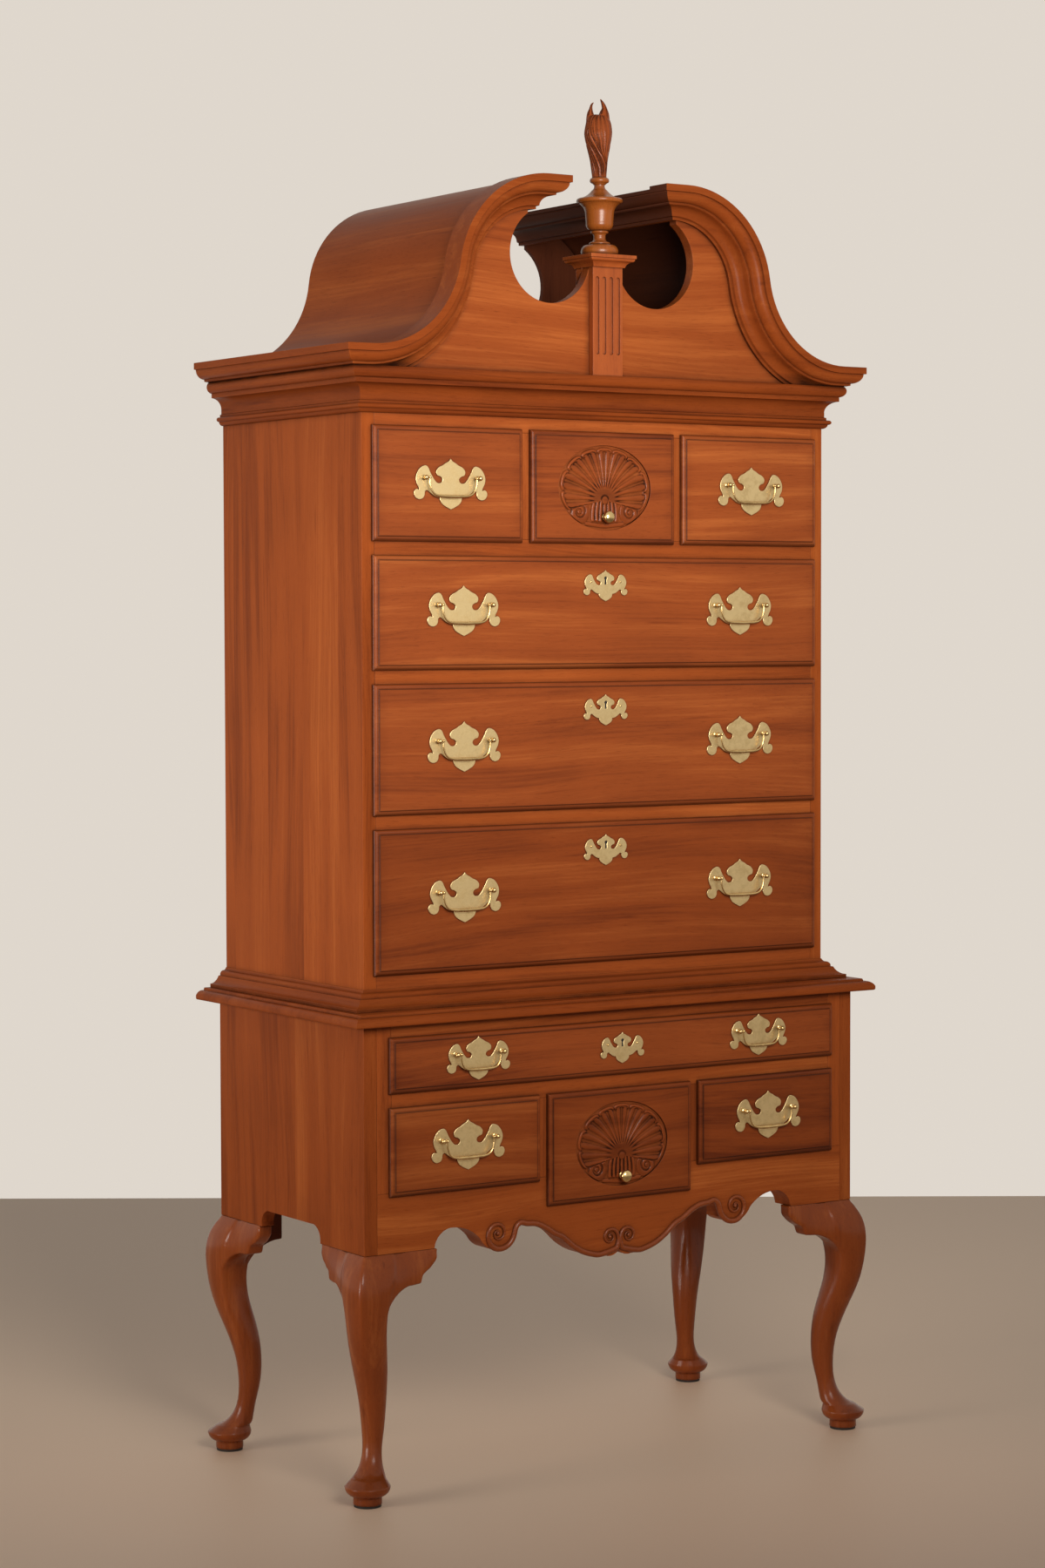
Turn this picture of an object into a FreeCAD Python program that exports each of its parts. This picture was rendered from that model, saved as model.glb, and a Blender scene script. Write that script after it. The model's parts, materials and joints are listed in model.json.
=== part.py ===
"""Bonnet-top high chest of drawers (highboy), built as separate boards, mouldings and brasses.

Millimetres, +Z up, +X to the right and -Y to the front.  The origin is the centre of the
footprint on the floor.  Inside a node the pieces are laid out from the front face of the
upper case (y = 0); every node is then moved back by face_y as one.
"""
import FreeCAD
import Part
import math
import os
import re

from FreeCAD import Placement, Rotation, Vector

doc = FreeCAD.newDocument("highboy")

# ---------------------------------------------------------------- driving dimensions

SIZES = {
    # upper case
    "upper_w": 940, "upper_d": 465, "side_t": 24, "back_t": 10,
    "rail_d": 45, "dust_t": 12, "partition_t": 10,
    # lower case
    "leg_z": 408, "lower_h": 372, "lower_out": 29, "lower_front": 48, "lower_back_in": 29,
    "stile_w": 51.5, "top_t": 20, "top_over": 31,
    # drawers, by the lip that covers the edge of each opening
    "lip_over": 6, "lip_t": 10, "lip_step": 2, "lip_edge": 8, "inset_t": 12,
    "box_short": 43, "box_side_t": 10, "box_bottom_t": 7, "box_bottom_up": 8,
    "box_drop": 8, "play": 1,
    "base_show": 54, "rail_show": 22, "divider_show": 15, "frieze_show": 19,
    "mid_lip_w": 294, "deep_h": 238, "middle_h": 214, "shallow_h": 187, "small_h": 188,
    "low_top_show": 21, "low_wide_h": 92, "low_side_h": 145, "low_mid_h": 188,
    # mouldings
    "waist_h": 33, "waist_out": 32, "cornice_h": 73.5, "cornice_out": 31.4, "crown_h": 32.5,
    "crown_out": 56, "neck_h": 54, "roof_t": 8, "roof_sink": 5, "roof_inset": 9,
    "tympanum_t": 20, "tympanum_out": 6,
    # swan necks and the round openings
    "neck_flat_out": 7, "neck_peak_in": 10, "neck_low_r": 165, "neck_rise": 291.5,
    "return_x": 151, "round_x": 107, "round_up": 165, "round_r": 79.5,
    # plinth and finial
    "plinth_w": 60, "plinth_out": 19, "plinth_up": 149, "plinth_block_h": 120,
    "cap_w": 92, "cap_d": 86, "cap_t": 20, "cap_front_over": 19,
    "flute_w": 8, "flute_pitch": 14, "flute_deep": 3, "flute_up": 3, "flute_down": 16,
    "finial_base_r": 31.5, "finial_h": 263, "urn_h": 131, "flame_r": 24, "flame_turn": 150,
    # cabriole legs
    "foot_in": 9, "foot_r": 37.5, "pad_z": 33, "disc_r": 23.5, "disc_z": 17, "glide_t": 4,
    "block_w": 137, "block_t": 24, "back_block_w": 108, "apron_drop": 48, "side_scroll": 29,
    # brasses
    "plate_w": 142, "small_plate_w": 123, "shield_w": 90, "plate_t": 2,
    "plate_x": 282.5, "low_plate_x": 287, "plate_up": 3, "shield_down": 48,
    "post_r": 3.8, "post_len": 12, "pivot_out": 8, "post_share": 0.366, "post_up_share": 0.07,
    "bail_r": 2.3, "pin_r": 1.6, "pin_fit": 0.06, "bail_drop": 30, "bail_bend": 15,
    "knob_r": 10.5, "knob_out": 19, "knob_dome": 4, "stem_r": 4,
    # carved shells
    "shell_w": 188, "shell_h": 142, "shell_deep": 4, "knob_down": 49, "low_knob_down": 54,
}

sheet = doc.addObject("Spreadsheet::Sheet", "dims")
for row, (alias, value) in enumerate(SIZES.items(), start=1):
    sheet.set(f"A{row}", alias)
    sheet.set(f"B{row}", str(value))
    sheet.setAlias(f"B{row}", alias)
OWNER = {alias: f"dims.{alias}" for alias in SIZES}

# ---------------------------------------------------------------- places worked out from them

LAYOUT = {
    "upper_half": "upper_w / 2",
    "lower_half": "upper_half + lower_out",
    "top_half": "lower_half + top_over",
    "top_front": "lower_front + top_over",
    "face_y": "(top_front - upper_d) / 2",
    "lower_back": "upper_d - lower_back_in",
    "lower_top_z": "leg_z + lower_h",
    "upper_z": "lower_top_z + top_t",
    "open_half": "upper_half - side_t",
    "low_open_half": "lower_half - stile_w",
    "mid_open_half": "mid_lip_w / 2 - lip_over",
    "small_open_in": "mid_lip_w / 2 + divider_show + lip_over",
    "box_len": "upper_d - back_t - inset_t - box_short",
    # lips of the upper drawers, from the bottom up
    "deep_z": "upper_z + base_show",
    "middle_z": "deep_z + deep_h + rail_show",
    "shallow_z": "middle_z + middle_h + rail_show",
    "small_z": "shallow_z + shallow_h + rail_show",
    "small_top": "small_z + small_h",
    # cornice and crown above them
    "cornice_z": "small_top + frieze_show",
    "cornice_top": "cornice_z + cornice_h",
    "crown_z": "cornice_top + crown_h",
    "roof_under": "roof_sink + roof_t",
    "side_top": "crown_z - roof_under",
    # lips of the lower drawers, from the top down
    "low_wide_z": "lower_top_z - low_top_show - low_wide_h",
    "low_row_top": "low_wide_z - rail_show",
    "low_side_z": "low_row_top - low_side_h",
    "low_mid_z": "low_row_top - low_mid_h",
    # swan neck, between the flat crown and the peak
    "neck_flat_x": "upper_half + neck_flat_out",
    "neck_peak_x": "return_x - neck_peak_in",
    "neck_peak_z": "crown_z + neck_rise",
    "foot_x": "lower_half - foot_in",
    "foot_front": "foot_in - lower_front",
    "foot_back": "lower_back - foot_in",
    "round_z": "crown_z + round_up",
    "plinth_top": "crown_z + plinth_up",
    "finial_y": "cap_d / 2 - plinth_out - cap_front_over",
    "cap_top": "plinth_top + cap_t",
    "urn_top": "cap_top + urn_h",
}

layout = doc.addObject("App::VarSet", "layout")


def bound(text):
    """An expression in which every named size points at the object that holds it."""
    return re.sub(r"[a-z_][a-z_0-9]*", lambda word: OWNER.get(word.group(), word.group()), str(text))


for name, formula in LAYOUT.items():
    layout.addProperty("App::PropertyFloat", name)
    layout.setExpression(name, bound(formula))
    OWNER[name] = f"layout.{name}"
doc.recompute()


def at(name):
    """The value of a named size."""
    return float(getattr(layout if name in LAYOUT else sheet, name))


# ---------------------------------------------------------------- helpers

NODES = []


def bind(thing, **sizes):
    """Bind properties of an object to expressions of the named sizes."""
    for name, text in sizes.items():
        thing.setExpression(name.replace("__", "."), bound(text))
    return thing


def box(label, x, y, z, length, width, height):
    """A board: its low corner and its three sizes, all as expressions."""
    board = doc.addObject("Part::Box", label)
    bind(board, Length=length, Width=width, Height=height)
    return bind(board, Placement__Base__x=x, Placement__Base__y=y, Placement__Base__z=z)


def both_sides(label, x, y, z, length, width, height):
    """The same board on the right and, mirrored, on the left."""
    right = box(f"{label}_right", x, y, z, length, width, height)
    left = box(f"{label}_left", f"-({x}) - ({length})", y, z, length, width, height)
    return [left, right]


def node(label, pieces):
    """One named sub-part, made of one or more separate solids, set into the shared frame."""
    group = doc.addObject("Part::Compound", label)
    group.Label = label
    group.Links = pieces
    bind(group, Placement__Base__y="face_y")
    NODES.append(group)
    return group


def curves(path):
    """A closed chain of lines and arcs.  A step is a point, or (middle, end) for an arc."""
    chain = []
    here = Vector(*path[0], 0)
    for step in path[1:] + [path[0]]:
        if isinstance(step[0], tuple):
            end = Vector(*step[1], 0)
            chain.append(Part.Arc(here, Vector(*step[0], 0), end))
        else:
            end = Vector(*step, 0)
            if end.distanceToPoint(here) > 1e-6:
                chain.append(Part.LineSegment(here, end))
        here = end
    return chain


def flipped(path):
    """The same path mirrored across x = 0."""
    turned = []
    for step in path:
        if isinstance(step[0], tuple):
            turned.append(tuple((-x, y) for x, y in step))
        else:
            turned.append((-step[0], step[1]))
    return turned


PLANES = {
    "XY": Rotation(),
    "XZ": Rotation(Vector(1, 0, 0), 90),
    "YZ": Rotation(Vector(1, 1, 1), 120),
}


def loose_sketch(label, plane, geometry, offset=(0, 0, 0)):
    """A sketch of its own on a plane through offset."""
    drawing = doc.addObject("Sketcher::SketchObject", label)
    drawing.Placement = Placement(Vector(*offset), PLANES[plane])
    drawing.addGeometry(geometry, False)
    return drawing


def extrusion(label, plane, geometry, length, start=0):
    """A prism on a sketch: along +X from YZ, +Y from XZ, +Z from XY, starting at start."""
    along = {"XY": Vector(0, 0, 1), "XZ": Vector(0, 1, 0), "YZ": Vector(1, 0, 0)}[plane]
    drawing = loose_sketch(f"{label}_outline", plane, geometry, along * start)
    prism = doc.addObject("Part::Extrusion", label)
    prism.Base = drawing
    prism.DirMode = "Custom"
    prism.Dir = along
    prism.Solid = True
    return bind(prism, LengthFwd=length)


def common(label, first, second):
    """What two solids share."""
    shared = doc.addObject("Part::Common", label)
    shared.Base = first
    shared.Tool = second
    return shared


def cut(label, base, tool):
    """A solid less another."""
    rest = doc.addObject("Part::Cut", label)
    rest.Base = base
    rest.Tool = tool
    return rest


def fuse(label, pieces):
    """Several shapes grown into one solid."""
    whole = doc.addObject("Part::MultiFuse", label)
    whole.Shapes = pieces
    whole.Refine = True
    return whole


def mirrored(label, source, normal):
    """A mirror image across the plane through the origin."""
    image = doc.addObject("Part::Mirroring", label)
    image.Source = source
    image.Base = Vector(0, 0, 0)
    image.Normal = Vector(*normal)
    return image


def feature(label, shape):
    """A shape that Part's own functions made."""
    piece = doc.addObject("Part::Feature", label)
    piece.Shape = shape
    return piece


def body(label):
    """An empty body for sketched features."""
    return doc.addObject("PartDesign::Body", label)


def sketch(solid, label, plane, geometry, offset=0):
    """A sketch on one of the body's own origin planes, moved along its normal."""
    drawing = solid.newObject("Sketcher::SketchObject", label)
    planes = {plane.Role: plane for plane in solid.Origin.OriginFeatures}
    drawing.AttachmentSupport = (planes[f"{plane}_Plane"], [""])
    drawing.MapMode = "FlatFace"
    drawing.AttachmentOffset = Placement(Vector(0, 0, offset), Rotation())
    drawing.addGeometry(geometry, False)
    return drawing


def turning(label, outline):
    """A body turned about its own Z axis from an outline of (radius, height) steps."""
    solid = body(label)
    shape = sketch(solid, f"{label}_outline", "XZ", curves(outline))
    turned = solid.newObject("PartDesign::Revolution", f"{label}_turning")
    turned.Profile = shape
    turned.ReferenceAxis = (shape, ["V_Axis"])
    turned.Angle = 360
    return solid


# ---------------------------------------------------------------- carcase boards


def upper_case():
    """Case sides, rails, dust boards and back of the upper case."""
    tall = "side_top - upper_z"
    node("upper_case_sides", both_sides("upper_side", "open_half", 0, "upper_z", "side_t", "upper_d", tall))

    rails = []
    steps = [
        ("bottom_rail", "upper_z", "deep_z + lip_over"),
        ("deep_rail", "deep_z + deep_h - lip_over", "middle_z + lip_over"),
        ("middle_rail", "middle_z + middle_h - lip_over", "shallow_z + lip_over"),
        ("shallow_rail", "shallow_z + shallow_h - lip_over", "small_z + lip_over"),
        ("top_rail", "small_top - lip_over", "cornice_top"),
    ]
    for label, low, high in steps:
        rails.append(box(label, "-open_half", 0, low, "2 * open_half", "rail_d", f"({high}) - ({low})"))
    divider = ("mid_open_half", 0, "small_z + lip_over")
    divider_size = ("small_open_in - mid_open_half", "rail_d", "small_h - 2 * lip_over")
    rails += both_sides("top_divider", *divider, *divider_size)
    node("upper_face_rails", rails)

    depth = "upper_d - back_t - rail_d"
    boards = [box("upper_floor", "-open_half", "rail_d", "upper_z", "2 * open_half", depth, "dust_t")]
    for label, lip_z in [("deep", "deep_z"), ("middle", "middle_z"), ("shallow", "shallow_z"), ("small", "small_z")]:
        low = f"{lip_z} + lip_over - dust_t"
        boards.append(box(f"{label}_dust", "-open_half", "rail_d", low, "2 * open_half", depth, "dust_t"))
    wall_x = "(mid_open_half + small_open_in - partition_t) / 2"
    boards += both_sides("top_partition", wall_x, "rail_d", "small_z + lip_over", "partition_t", depth,
                         "small_h - 2 * lip_over")
    boards.append(box("upper_ceiling", "-open_half", "rail_d", "small_top - lip_over", "2 * open_half", depth, "dust_t"))
    node("upper_dust_boards", boards)


def scroll(sink, outer_x, inner_x, inset=0):
    """The swan-neck line moved inwards by sink, from outer_x to inner_x: a point and two arcs.

    The two arcs are tangent to each other, to the flat crown and to the peak.  An inset starts
    the line nearer to the middle, which keeps the roof inside the moulding.
    """
    low_x = at("neck_flat_x") - inset
    low_r = at("neck_low_r")
    low_z = at("crown_z") + low_r
    high_x = at("neck_peak_x")
    drop = at("neck_rise") - low_r
    high_r = ((low_x - high_x) ** 2 + drop ** 2 - low_r ** 2) / (2 * (low_r + drop))
    high_z = at("neck_peak_z") - high_r
    low_r += sink
    high_r -= sink
    tilt = math.atan2(low_z - high_z, low_x - high_x)
    join_x = high_x + high_r * math.cos(tilt)
    join_z = high_z + high_r * math.sin(tilt)

    def low(x):
        return (x, low_z - math.sqrt(low_r ** 2 - (x - low_x) ** 2))

    def high(x):
        return (x, high_z + math.sqrt(high_r ** 2 - (x - high_x) ** 2))

    outer_arc = (low((outer_x + join_x) / 2), (join_x, join_z))
    return [low(outer_x), outer_arc, (high((join_x + inner_x) / 2), high(inner_x))]


def back_along(path):
    """The same path walked from its end to its start."""
    ends = [step[1] if isinstance(step[0], tuple) else step for step in path]
    walked = [ends[-1]]
    for index in range(len(path) - 1, 0, -1):
        step = path[index]
        walked.append((step[0], ends[index - 1]) if isinstance(step[0], tuple) else ends[index - 1])
    return walked


def pediment_board(label, front, thick):
    """A board under the roof: scrolled top, and round openings that run into the gap."""
    half = at("open_half")
    x, z, radius = at("round_x"), at("round_z"), at("round_r")
    gap_x = at("return_x")
    gap_z = z + math.sqrt(radius ** 2 - (gap_x - x) ** 2)
    cap_z = at("plinth_top")
    inner_x = x - math.sqrt(radius ** 2 - (cap_z - z) ** 2)
    outermost = math.radians(-30)
    low = (x + radius * math.cos(outermost), z + radius * math.sin(outermost))
    edge = scroll(at("roof_under"), half, gap_x, at("roof_inset"))
    right = [(half, at("cornice_top"))] + edge + [(gap_x, gap_z), (low, (inner_x, cap_z))]
    return extrusion(label, "XZ", curves(right + back_along(flipped(right))), thick, front)


def bonnet():
    """Tympanum, back boards and the two curved roof boards."""
    front = -at("tympanum_out")
    node("tympanum", [pediment_board("tympanum_board", front, "tympanum_t")])

    case_back = box("case_back", "-open_half", "upper_d - back_t", "upper_z", "2 * open_half", "back_t",
                    "cornice_top - upper_z")
    bonnet_back = pediment_board("bonnet_back", at("upper_d") - at("back_t"), "back_t")
    node("upper_back_boards", [case_back, bonnet_back])

    side, inner = at("upper_half"), at("return_x")
    inset = at("roof_inset")
    path = scroll(at("roof_sink"), side, inner, inset) + back_along(scroll(at("roof_under"), side, inner, inset))
    length = "upper_d + tympanum_out"
    roofs = [extrusion("roof_right", "XZ", curves(path), length, front),
             extrusion("roof_left", "XZ", curves(flipped(path)), length, front)]
    node("bonnet_roof", roofs)


def lower_case():
    """Sides, back, face frame with the scrolled apron, and dust boards of the lower case."""
    front = at("lower_front")
    back = at("lower_back")
    foot = at("leg_z")
    top = at("lower_top_z")
    length = at("block_w")
    rise = at("side_scroll")
    side_path = [
        (-front, foot), (length - front + 6, foot),
        ((length - front + 12, foot + 0.72 * rise), (length - front + 34, foot + rise)),
        (back - length - 34, foot + rise),
        ((back - length - 12, foot + 0.72 * rise), (back - length - 6, foot)),
        (back, foot), (back, top), (-front, top),
    ]
    right = extrusion("lower_side_right", "YZ", curves(side_path), "side_t", at("lower_half") - at("side_t"))
    left = extrusion("lower_side_left", "YZ", curves(side_path), "side_t", -at("lower_half"))
    panel = box("lower_back", "side_t - lower_half", "lower_back - back_t", "leg_z",
                "2 * (lower_half - side_t)", "back_t", "lower_h")
    node("lower_case_panels", [left, right, panel])

    stiles = both_sides("lower_stile", "low_open_half", "-lower_front", "low_side_z + lip_over",
                        "stile_w - side_t", "rail_d", "lower_top_z - low_side_z - lip_over")
    top_z = "low_wide_z + low_wide_h - lip_over"
    mid_z = "low_row_top - lip_over"
    frame = stiles + [
        box("lower_top_rail", "-low_open_half", "-lower_front", top_z, "2 * low_open_half", "rail_d",
            f"lower_top_z - ({top_z})"),
        box("lower_mid_rail", "-low_open_half", "-lower_front", mid_z, "2 * low_open_half", "rail_d",
            "rail_show + 2 * lip_over"),
    ]
    frame += both_sides("lower_divider", "mid_open_half", "-lower_front", "low_side_z + lip_over",
                        "small_open_in - mid_open_half", "rail_d", "low_side_h - 2 * lip_over")
    frame.append(apron())
    node("lower_face_frame", frame)

    depth = "lower_back - back_t + lower_front - rail_d"
    start = "rail_d - lower_front"
    inner = "lower_half - side_t"
    boards = [
        box("low_wide_dust", f"-({inner})", start, "low_wide_z + lip_over - dust_t", f"2 * ({inner})", depth, "dust_t"),
        box("low_mid_dust", "-mid_open_half", start, "low_mid_z + lip_over - dust_t", "2 * mid_open_half", depth,
            "dust_t"),
    ]
    wall_z = "low_mid_z + lip_over - dust_t"
    tall = "low_wide_z + lip_over - dust_t - (low_mid_z + lip_over - dust_t)"
    boards += both_sides("low_partition", "mid_open_half", start, wall_z, "partition_t", depth, tall)
    side_len = "lower_half - side_t - mid_open_half - partition_t"
    boards += both_sides("low_side_dust", "mid_open_half + partition_t", start, "low_side_z + lip_over - dust_t",
                         side_len, depth, "dust_t")
    guide_z = "low_side_z + lip_over"
    boards += both_sides("low_guide", "low_open_half", start, guide_z, "stile_w - side_t", depth, "dust_t")
    wide_guide_z = "low_wide_z + lip_over"
    boards += both_sides("wide_guide", "low_open_half", start, wide_guide_z, "stile_w - side_t", depth, "dust_t")
    node("lower_dust_boards", boards)


def apron():
    """The bottom rail: a step down for the middle drawer above, scrolls and a deep middle below.

    The scrolls are drawn for a run of 363 from the middle to the knee bracket, and stretched to fit.
    """
    inner = at("lower_half") - at("side_t")
    foot = at("leg_z")
    low = foot - at("apron_drop")
    seat = at("low_side_z") + at("lip_over")
    mid_seat = at("low_mid_z") + at("lip_over")
    mid = at("mid_open_half")
    block = at("lower_half") - at("block_w") + 4
    run = block / 363
    right = [
        (mid, mid_seat), (mid, seat), (inner, seat), (inner, foot), (block, foot),
        ((352 * run, foot + 22), (331 * run, foot + 31)),
        ((300 * run, foot + 25), (275 * run, foot + 7)),
        ((238 * run, foot - 15), (214 * run, foot - 5)),
        ((208 * run, foot + 20), (186 * run, foot + 28.5)),
        ((150 * run, foot + 17), (115 * run, low + 40)),
        ((62 * run, low + 6), (25 * run, low + 1)),
        ((9 * run, low + 2), (0, low + 9)),
    ]
    left = flipped(right)
    path = right + back_along(left)[1:]
    return extrusion("apron", "XZ", curves(path), "rail_d", -at("lower_front"))


# ---------------------------------------------------------------- mouldings


def mitred(label, profile, side, front_y, back_y, half, out):
    """A moulding on the front ("front") or on the "right" of a case, mitred at the corners.

    The profile is (out, z) from the wall outwards.
    """
    reach = out + 5
    if side == "front":
        face = [((-step[0][0] + front_y, step[0][1]), (-step[1][0] + front_y, step[1][1]))
                if isinstance(step[0], tuple) else (-step[0] + front_y, step[1]) for step in profile]
        run = extrusion(f"{label}_run", "YZ", curves(face), 2 * (half + reach), -half - reach)
        plan = [(-half, front_y), (-half - reach, front_y - reach), (half + reach, front_y - reach), (half, front_y)]
    else:
        face = [((step[0][0] + half, step[0][1]), (step[1][0] + half, step[1][1]))
                if isinstance(step[0], tuple) else (step[0] + half, step[1]) for step in profile]
        run = extrusion(f"{label}_run", "XZ", curves(face), back_y - front_y + reach, front_y - reach)
        plan = [(half, front_y), (half + reach, front_y - reach), (half + reach, back_y), (half, back_y)]
    heights = [step[1][1] if isinstance(step[0], tuple) else step[1] for step in profile]
    prism = extrusion(f"{label}_plan", "XY", curves(plan), max(heights) - min(heights) + 2, min(heights) - 1)
    return common(label, run, prism)


def waist_profile():
    """Retaining moulding that holds the upper case: a fillet, a cove and an ovolo."""
    z = at("upper_z")
    out = at("waist_out")
    high = at("waist_h")
    return [
        (0, z), (out, z), (out, z + 6), (out - 4, z + 6.5),
        ((out - 11.5, z + 11.5), (out - 16, z + 19)), (out - 19.5, z + 19.5), (out - 19.5, z + 22.5),
        ((out - 22.5, z + 26.8), (out - 27, z + 28)), ((out - 29.5, z + 30), (out - 31, z + high)), (0, z + high),
    ]


def cornice_profile():
    """Bed moulding, astragal, cove and torus below the crown."""
    z = at("cornice_z")
    top = at("cornice_top")
    out = at("cornice_out")
    return [
        (0, z), (2, z), ((6.5, z + 3), (8, z + 7)), ((12.5, z + 11), (8, z + 14.5)), (6, z + 15), (6, z + 19),
        (3.3, z + 20), (3.3, z + 28), ((8.9, z + 41.4), (out - 9.4, z + 47)), (out - 9.4, top - 19),
        ((out, top - 8.5), (out - 3.4, top)), (0, top),
    ]


def crown_profile(top, full):
    """Crown moulding from its top edge down: fillet, ovolo, fillet, and the cove when full."""
    out = at("crown_out")
    fillet = top - at("crown_h")
    foot = top - at("neck_h")
    upper = [
        (0, top), (out, top), (out, top - 11.5), (out - 3.7, top - 12),
        ((out - 8.4, top - 23.3), (out - 19.7, top - 28)), (out - 20, fillet + 1),
    ]
    if not full:
        return upper + [(out - 28, fillet), (0, fillet)]
    return upper + [(out - 25, fillet), ((out - 35.6, fillet - 4.9), (out - 40, foot + 6)),
                    (out - 44, foot + 4.5), (out - 44, foot), (0, foot)]


def mouldings():
    """Waist moulding, cornice and crown returns, each mitred at the front corners."""
    half = at("upper_half")
    back = at("upper_d")
    for label, profile, out in [("waist_moulding", waist_profile(), at("waist_out")),
                                ("cornice_moulding", cornice_profile(), at("cornice_out"))]:
        front = mitred(f"{label}_front", profile, "front", 0, back, half, out)
        right = mitred(f"{label}_right", profile, "right", 0, back, half, out)
        left = mirrored(f"{label}_left", right, (1, 0, 0))
        node(label, [front, right, left])


def swan_necks():
    """The crown: scrolled front mouldings, their returns along the sides and into the gap."""
    half = at("upper_half")
    back = at("upper_d")
    out = at("crown_out")
    wall = at("tympanum_out")
    return_x = at("return_x")
    right_return = mitred("crown_return", crown_profile(at("crown_z"), False), "right", 0, back, half, out)

    # front: the full profile swept along the scroll, cut by the cornice and by both mitres
    edge = scroll(0, at("neck_flat_x"), at("neck_peak_x"))
    end_x = return_x - out - 10
    start = (half + out + 10, at("crown_z"))
    spine = [Part.LineSegment(Vector(start[0], 0, start[1]), Vector(edge[0][0], 0, edge[0][1]))]
    here = edge[0]
    for middle, end in edge[1:]:
        points = [Vector(point[0], 0, point[1]) for point in (here, middle, end)]
        spine.append(Part.Arc(*points))
        here = end
    spine.append(Part.LineSegment(Vector(here[0], 0, here[1]), Vector(end_x, 0, here[1])))
    path = Part.Wire([curve.toShape() for curve in spine])
    section = Part.Wire([curve.toShape() for curve in curves(crown_profile(0, True))])
    upright = Rotation(Vector(0, -1, 0), Vector(0, 0, 1), Vector(), "XYZ")
    section.Placement = Placement(Vector(start[0], 0, start[1]), upright)
    swept = path.makePipeShell([section], True, False)
    sweep = feature("neck_sweep", swept)

    # plan of the piece: from the tympanum out, mitred at the corner and at the inner end
    reach = out + 5
    plan = [
        (return_x - wall, -wall), (return_x - reach, -reach), (half + reach, -reach), (half + wall, -wall),
    ]
    prism = extrusion("neck_plan", "XY", curves(plan), at("neck_peak_z") - at("cornice_top") + 10, at("cornice_top"))
    right_neck = common("neck_right", sweep, prism)

    # inner return: the same full profile run straight back from the inner mitre
    face = [((return_x - step[0][0], step[0][1]), (return_x - step[1][0], step[1][1]))
            if isinstance(step[0], tuple) else (return_x - step[0], step[1])
            for step in crown_profile(at("neck_peak_z"), True)]
    run = extrusion("inner_return_run", "XZ", curves(face), back + reach, -reach)
    inner_plan = [(return_x, 0), (return_x - reach, -reach), (return_x - reach, back), (return_x, back)]
    inner_prism = extrusion("inner_return_plan", "XY", curves(inner_plan), at("neck_h") + 10,
                            at("neck_peak_z") - at("neck_h") - 5)
    full = common("inner_return_full", run, inner_prism)
    # behind the front moulding its top is planed down flush with the roof
    shaving = box("return_shaving", "return_x - crown_out - 1", "-tympanum_out", "neck_peak_z - roof_sink",
                  "crown_out + 2", "upper_d + tympanum_out + 1", "roof_sink + 1")
    inner = cut("inner_return", full, shaving)

    rights = [right_neck, right_return, inner]
    lefts = [mirrored(f"{piece.Label}_left", piece, (1, 0, 0)) for piece in rights]
    node("swan_neck_mouldings", rights + lefts)


def lower_top():
    """The board under the upper case, with a thumbnail edge on the front and the sides."""
    z = at("lower_top_z")
    top = at("upper_z")
    edge = at("top_half")
    front = at("top_front")
    back = at("upper_d")

    def nose(reach):
        return [(reach - 3, z), ((reach - 0.9, z + 0.9), (reach, z + 3)), (reach, z + 7),
                ((reach - 4.5, z + 13), (reach - 15, z + 15.5)), (reach - 16, top - 1), (reach - 17, top)]

    right = nose(edge)
    across = extrusion("top_across", "XZ", curves(right + back_along(flipped(right))), front + back, -front)
    profile = flipped(nose(front))
    along = extrusion("top_along", "YZ", curves(profile + [(back, top), (back, z)]), 2 * edge, -edge)
    node("lower_case_top", [common("top_board", across, along)])


# ---------------------------------------------------------------- plinth and finial


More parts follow.
